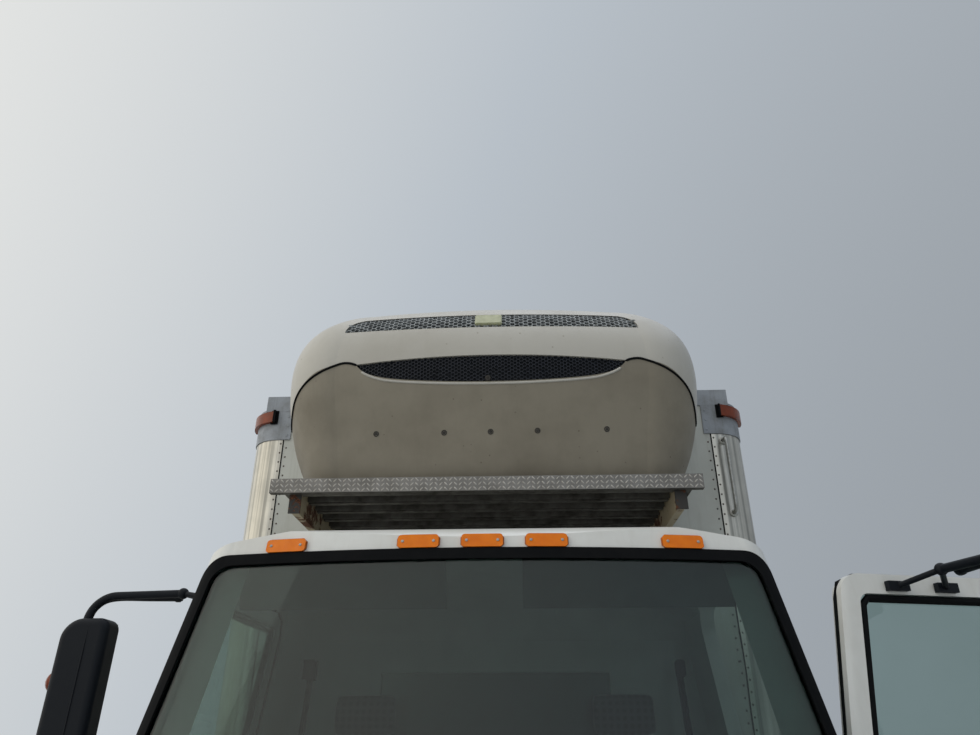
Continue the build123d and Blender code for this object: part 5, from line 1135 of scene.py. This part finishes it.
for side, _ in SIDES:
    form, sleeve = bmesh.new(), bmesh.new()
    (left, right), out = GLASS_X, BEZEL_OUT
    for low, high in GLASS_Z:
        slab(form, (side * left, GLASS_BACK, low), (side * right, GLASS_FACE, high), 3.0)
        near, far = side * (left - 0.003), side * (right + 0.003)
        loop = [(near, low - out), (far, low - out), (far, high + out), (near, high + out),
                (near, low - out)]
        bar(sleeve, [(x, BEZEL_Y, z) for x, z in loop], 0.0034, 6)
    door_piece("mirror_glasses", form, mirror_metal, side)
    bar(sleeve, smooth_path(mirrored(side, SLEEVE), 5), 0.0132, 14)
    lathe(sleeve, COLLAR, mirrored(side, SLEEVE)[0], (-side, 0.15, 0.02), 14)
    bar(sleeve, mirrored(side, SHADOW_LINE), [0.001, 0.0022, 0.0022, 0.001], 6)
    door_piece("mirror_sleeve", sleeve, black_plastic, side)
    form = bmesh.new()
    lathe(form, REFLECTOR, (side * 1.2835, -0.468, 1.820), (side, 0.25, 0), 18)
    door_piece("mirror_reflector", form, corner_lens, side)

# %% [markdown]
# The wipers park on the lower edge of the windscreen. Rays find the glass under each point of arm
# and blade, so both follow its bow.

# %% Wipers
WIPERS, ARM_SHARES = ((-0.66, -0.10), (0.04, 0.60)), (0.0, 0.15, 0.3, 0.45, 0.56)
ARM_Z, ARM_CLIMB, BLADE_Z, BLADE_POINTS = 1.303, 0.098, 1.396, 9
HUB = [(0.020, -0.002), (0.020, 0.012), (0.015, 0.026), (0.008, 0.032), (0.004, 0.033)]
screen_tree = search_tree("cab_glass", "windscreen_gasket", "cab_front_panel", "cab_body")
form = bmesh.new()
for pivot_x, tip_x in WIPERS:
    reach = tip_x - pivot_x
    lathe(form, HUB, *from_front(screen_tree, pivot_x, 1.300), 16)
    arm = [from_front(screen_tree, pivot_x + reach * t, ARM_Z + ARM_CLIMB * t, 0.028 - 0.006 * t)[0]
           for t in ARM_SHARES]
    bar(form, arm, [0.010, 0.009, 0.0065, 0.0055, 0.0055], 8)
    blade = [from_front(screen_tree, pivot_x + 0.06 + (reach + 0.02) * step / (BLADE_POINTS - 1),
                        BLADE_Z, 0.012)[0] for step in range(BLADE_POINTS)]
    bar(form, blade, [0.004] + [0.0075] * (BLADE_POINTS - 2) + [0.004], 8)
as_piece("windscreen_wipers", form, black_plastic, "cab")

# %% [markdown]
# Low on the front, each headlamp bay holds two round reflectors behind the lens and an amber turn
# lamp, and a plain plate carrier is bolted to the bumper, left bare.

# %% Front lamps and plate carrier
BAY_Z, TURN_X, BOWLS = 0.905, 0.772, ((0.600, 0.058), (0.700, 0.050))
bay_tree = search_tree("headlamps")
form, turn = bmesh.new(), bmesh.new()
for side in (-1, 1):
    for x, radius in BOWLS:
        lathe(form, [(radius, 0.0), (radius, 0.005), (radius - 0.006, 0.009),
                     (radius - 0.014, 0.006), (radius * 0.4, 0.004), (radius * 0.36, 0.0085),
                     (radius * 0.1, 0.010)], *from_front(bay_tree, side * x, BAY_Z, -0.001), 32)
    slab(turn, (-0.018, -0.055, -0.004), (0.018, 0.055, 0.006), 4.0,
         facing(*from_front(bay_tree, side * TURN_X, BAY_Z)))
as_piece("headlamp_reflectors", form, lamp_chrome, "cab")
as_piece("turn_lamps", turn, amber_lens, "cab")
form = bmesh.new()
slab(form, (-0.165, -1.156, 0.510), (0.165, -1.1495, 0.670), 3.0)
for x in (-0.13, 0.13):
    lathe(form, [(0.008, 0.0), (0.008, 0.003), (0.005, 0.005), (0.002, 0.005)],
          (x, -1.1555, 0.645), FRONT, 12)
as_piece("bare_plate_carrier", form, zinc_metal)

# %% [markdown]
# Both seats are foam under cloth. A cushion swells between its seams, so each pad starts as a
# slightly small block, is remeshed to even cells, and is blown up by the cloth solver without
# gravity. A cap keeps any point from moving too far, and one subdivision smooths what is left. Both
# seats are alike, so the second is a shifted copy.

# %% Padded seats
SWELL_FRAMES, SWELL_FORCE, SWELL_CAP, VOXEL = 16, 4.0, 0.016, 0.013


def swell(pad):
    """Blows a pad up by cloth pressure and draws back any point that went past the cap."""
    rest = [vertex.co.copy() for vertex in pad.data.vertices]
    cloth = pad.modifiers.new("swell", "CLOTH")
    cloth.settings.use_pressure = True
    cloth.settings.uniform_pressure_force = SWELL_FORCE
    cloth.settings.effector_weights.gravity = 0.0
    cloth.point_cache.frame_start, cloth.point_cache.frame_end = 1, SWELL_FRAMES
    for frame_number in range(1, SWELL_FRAMES + 1):
        bpy.context.scene.frame_set(frame_number)
    bake_mesh(pad)
    bpy.context.scene.frame_set(1)
    for vertex, start in zip(pad.data.vertices, rest):
        shift = vertex.co - start
        if shift.length > SWELL_CAP:
            vertex.co = start + shift * (SWELL_CAP / shift.length)


def foam_pad(name, profile, half_width, ease):
    """A pad whose side outline (y, z) is given, swollen and brought back as a mesh."""
    form = bmesh.new()
    near = [form.verts.new((-half_width, y, z)) for y, z in profile]
    far = [form.verts.new((half_width, y, z)) for y, z in profile]
    form.faces.new(near)
    form.faces.new(reversed(far))
    for a, b, c, d in zip(near, near[1:] + near[:1], far[1:] + far[:1], far):
        form.faces.new((a, d, c, b))
    bmesh.ops.recalc_face_normals(form, faces=form.faces)
    bmesh.ops.bevel(form, geom=list(form.edges), offset=ease, segments=3, affect="EDGES",
                    clamp_overlap=True)
    mesh = bpy.data.meshes.new(name)
    form.to_mesh(mesh)
    form.free()
    pad = show(name, mesh)
    cells = pad.modifiers.new("cells", "REMESH")
    cells.mode, cells.voxel_size = "VOXEL", VOXEL
    bake_mesh(pad)
    swell(pad)
    finer = pad.modifiers.new("finer", "SUBSURF")
    finer.levels = finer.render_levels = 1
    mesh = bake_mesh(pad)
    mesh.shade_smooth()
    bpy.data.objects.remove(pad)
    print(name, len(mesh.polygons), "faces")
    return mesh


CUSHION = ((-0.318, 1.166), (-0.318, 1.226), (-0.262, 1.262), (0.060, 1.244), (0.128, 1.262),
           (0.128, 1.166))
BACK = ((0.072, 1.262), (0.150, 1.640), (0.176, 1.676), (0.212, 1.680), (0.226, 1.650),
        (0.176, 1.262))
HEADREST = ((0.170, 1.680), (0.166, 1.800), (0.186, 1.816), (0.238, 1.816), (0.246, 1.680))
pads = {
    "cushion": foam_pad("seat_cushion", CUSHION, 0.188, 0.016),
    "back": foam_pad("seat_back", BACK, 0.180, 0.016),
    "headrest": foam_pad("seat_headrest", HEADREST, 0.112, 0.018),
}

# %% [markdown]
# Piping runs round the face of each pad and in two straight seams down it. Rays lay it on the
# swollen cloth, from above for the cushion and from the front for the back.

# %% Seats in the cab
SEAT_X, RECLINE = 0.478, math.radians(-10)
ABOVE_SEAT, BEFORE_SEAT = 1.6, -0.6
WELT_RADIUS, WELT_LIFT, SEAM_RADIUS, SEAM_LIFT = 0.0032, 0.001, 0.0026, -0.0006
CUSHION_LOOP = ((-0.150, 0.095), (-0.150, -0.235), (-0.125, -0.268), (0.125, -0.268),
                (0.150, -0.235), (0.150, 0.095))
BACK_LOOP = ((-0.140, 1.300), (-0.128, 1.600), (-0.095, 1.635), (0.095, 1.635), (0.128, 1.600),
             (0.140, 1.300))
tops, fronts = (BVHTree.FromPolygons([v.co for v in pads[part].vertices],
                                     [p.vertices for p in pads[part].polygons])
                for part in ("cushion", "back"))


def piping(form, tree, place_ray, loop, seam_x, seam_points):
    """A welt round a loop and two seams, laid on a pad by the rays of place_ray(across, along)."""
    def lay(across, along, lift):
        return on_surface(tree, *place_ray(across, along), lift)[0]

    welt = [lay(across, along, WELT_LIFT) for across, along in smooth_path(loop, 5)]
    bar(form, welt, WELT_RADIUS, 6)
    for x in (-seam_x, seam_x):
        bar(form, [lay(x, along / 100, SEAM_LIFT) for along in seam_points], SEAM_RADIUS, 6)


lean_back = (Matrix.Translation((0, 0.190, 1.20)) @ Matrix.Rotation(RECLINE, 4, "X")
             @ Matrix.Translation((0, -0.190, -1.20)))
first_pad = None
for side, name in SIDES:
    shift = Matrix.Translation((side * SEAT_X, 0, 0))
    for part, mesh in pads.items():
        own = mesh.copy()
        own.transform(shift)
        own.materials.clear()
        own.materials.append(seat_cloth)
        piece = show("seat_" + part + "_" + name, own)
        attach(piece, "cab")
        if first_pad is None:
            first_pad = piece
            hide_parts("seats")
    form = bmesh.new()
    piping(form, tops, lambda x, y: ((x, y, ABOVE_SEAT), (0, 0, -1)), CUSHION_LOOP, 0.062,
           range(-26, 10, 3))
    piping(form, fronts, lambda x, z: ((x, BEFORE_SEAT, z), (0, 1, 0)), BACK_LOOP, 0.060,
           range(131, 163, 3))
    bmesh.ops.transform(form, matrix=shift, verts=form.verts)
    as_piece("seat_piping_" + name, form, piping_cloth, "cab")
    form = bmesh.new()
    slab(form, (-0.195, -0.300, 1.148), (0.195, 0.150, 1.172), 6.0, shift)
    slab(form, (-0.098, -0.268, 0.906), (0.098, 0.108, 1.150), 10.0, shift)
    slab(form, (-0.172, 0.176, 1.20), (0.172, 0.205, 1.62), 10.0, shift @ lean_back)
    for x in (-0.05, 0.05):
        bar(form, [shift @ Vector((x, 0.205, 1.62)), shift @ Vector((x, 0.207, 1.72))], 0.006, 8)
    as_piece("seat_frame_" + name, form, black_plastic, "cab")

# %% [markdown]
# The dash has an instrument hood, three vents and a row of switches, and belts hang beside the
# doors. They are small, seen only through glass, so eased slabs do.

# %% Dash fittings
BELT = ((0.700, 0.215, 1.90), (0.704, 0.18, 1.70), (0.742, 0.15, 1.30), (0.748, 0.12, 0.99))
form = bmesh.new()
slab(form, (0.330, -0.790, 1.308), (0.626, -0.640, 1.372), 18.0)
for x in (-0.62, -0.02, 0.16):
    slab(form, (x - 0.055, -0.612, 1.252), (x + 0.055, -0.590, 1.300), 5.0)
slab(form, (-0.36, -0.614, 1.236), (-0.12, -0.588, 1.304), 6.0)
as_piece("dash_fittings", form, black_plastic, "cab")
form = bmesh.new()
for side in (-1, 1):
    bar(form, mirrored(side, BELT), 0.0125, 6)
    slab(form, (side * 0.690, 0.19, 1.875), (side * 0.722, 0.24, 1.935), 5.0)
as_piece("seat_belts", form, seal_rubber, "cab")

# %% [markdown]
# At the back, two lock rods run the height of each door through keepers. A rubber seal lines each
# door's edge, and the handles turn the rods. Cast keepers and cams at top and bottom take the load
# when the box racks on the road.

# %% Rear door seals and cams
DOOR_FACE, ROD_X, CAM_ZS = 5.442, 0.170, (1.175, 3.045)
DOOR_IN, DOOR_OUT, DOOR_LOW, DOOR_HIGH = 0.0035, 1.115, 1.142, 3.090
door_loop = [(DOOR_IN, DOOR_FACE, DOOR_LOW), (DOOR_OUT, DOOR_FACE, DOOR_LOW),
             (DOOR_OUT, DOOR_FACE, DOOR_HIGH), (DOOR_IN, DOOR_FACE, DOOR_HIGH),
             (DOOR_IN, DOOR_FACE, DOOR_LOW)]
back, cam_y, roller_y = DOOR_FACE - 0.001, DOOR_FACE + 0.014, DOOR_FACE + 0.026
for side, name in SIDES:
    body = "rear_door_" + name
    form = bmesh.new()
    bar(form, mirrored(side, door_loop), 0.0052, 8)
    as_piece("rear_door_seal_" + name, form, seal_rubber, body)
    form = bmesh.new()
    rod_x = side * ROD_X
    for z in CAM_ZS:
        slab(form, (rod_x - 0.042, back, z - 0.034), (rod_x + 0.042, cam_y, z + 0.034), 5.0)
        bar(form, [(rod_x + end, roller_y, z + 0.6 * end) for end in (-0.020, 0.020)], 0.015, 10)
    slab(form, (rod_x + side * 0.205, back, 1.530),
         (rod_x + side * 0.262, DOOR_FACE + 0.018, 1.590), 5.0)
    as_piece("rear_door_cams_" + name, form, zinc_metal, body)
    lines = [[(side * x, DOOR_FACE, z) for z in (1.19, 3.04)]
             for x in (DOOR_IN + 0.028, DOOR_OUT - 0.028)]
    rivet_lines("rear_door_rivets_" + name, lines, 0.1, 0.0052, zinc_metal, body)

# %% [markdown]
# Small lamps mark the length of the box, each with a dark ring under its lens.

# %% Side marker lamps and rims
MARKERS, MARKER_X = [(y, z) for y in (0.80, 3.05) for z in (1.065, 3.099)], BOX_HALF + 0.0035
MARKER_LENS = [(0.030, -0.001), (0.030, 0.010), (0.026, 0.016), (0.016, 0.020), (0.004, 0.021)]
MARKER_RIM = [(0.037, -0.001), (0.037, 0.005), (0.031, 0.008)]
for name, profile, finish in (("side_marker_lamps", MARKER_LENS, amber_lens),
                              ("side_marker_rims", MARKER_RIM, black_plastic)):
    form = bmesh.new()
    for side in (-1, 1):
        for y, z in MARKERS:
            lathe(form, profile, (side * MARKER_X, y, z), (side, 0, 0), 20)
    as_piece(name, form, finish)

# %% [markdown]
# The studio: a pale floor that fades out before the horizon, an even pale surround that stands for
# an overcast sky and is brighter on the side where the photograph is, and two large soft lamps.

# %% Floor and light
FLOOR_HALF, FADE = 40.0, (8.0, 34.0)
scene = bpy.context.scene
scene.view_settings.view_transform = "Standard"

corners = [(x * FLOOR_HALF, y * FLOOR_HALF, 0) for x, y in ((-1, -1), (1, -1), (1, 1), (-1, 1))]
floor = show("studio_floor", host_mesh("studio_floor", corners, (), [(0, 1, 2, 3)]))
floor_finish = weathered("matt_studio_floor", "#c3c4c2", "#b8b9b7", 900, 0.3, 0.8)
floor_tree = floor_finish.node_tree
place = add(floor_tree, "ShaderNodeTexCoord").outputs["Object"]
reach = add(floor_tree, "ShaderNodeVectorMath", {0: place}, operation="LENGTH").outputs["Value"]
feed(floor_tree, floor_tree.nodes["Principled BSDF"],
     {"Alpha": remap(floor_tree, reach, FADE, (1.0, 0.0))})
floor.data.materials.append(floor_finish)

BRIGHT_SIDE, STOPS_BRIGHTER, SKY_STRENGTH = (-0.9, -0.3, 0.3), 0.9, 0.95
scene.world = bpy.data.worlds.new("soft_surround")
scene.world.use_nodes = True
sky_tree = scene.world.node_tree
way = add(sky_tree, "ShaderNodeTexCoord").outputs["Generated"]
toward = add(sky_tree, "ShaderNodeVectorMath", {0: way, 1: BRIGHT_SIDE},
             operation="DOT_PRODUCT").outputs["Value"]
doubling = sums(sky_tree, "POWER", 2.0, sums(sky_tree, "MULTIPLY", toward, STOPS_BRIGHTER))
strength = sums(sky_tree, "MULTIPLY", doubling, SKY_STRENGTH)
feed(sky_tree, sky_tree.nodes["Background"],
     {"Strength": strength, "Color": mixed(sky_tree, toward, "#bcc4cc", "#d0ccc3")})


def soft_lamp(name, place, target, size, watts, colour):
    """A large area lamp that looks at a point."""
    data = bpy.data.lights.new(name, "AREA")
    data.size, data.energy, data.color = size, watts, linear(colour)[:3]
    lamp = show(name, data)
    lamp.location = place
    lamp.rotation_euler = (Vector(target) - Vector(place)).to_track_quat("-Z", "Y").to_euler()
    return lamp


key_lamp = soft_lamp("sky_left", (-9.0, -5.0, 10.0), (0, 1, 2.2), 9.0, 350, "#fffaf2")
key_lamp.visible_glossy = False
soft_lamp("sky_top", (2.0, 2.0, 13.0), (0, 1.5, 2.0), 12.0, 310, "#f4f8ff")
print("studio ready")
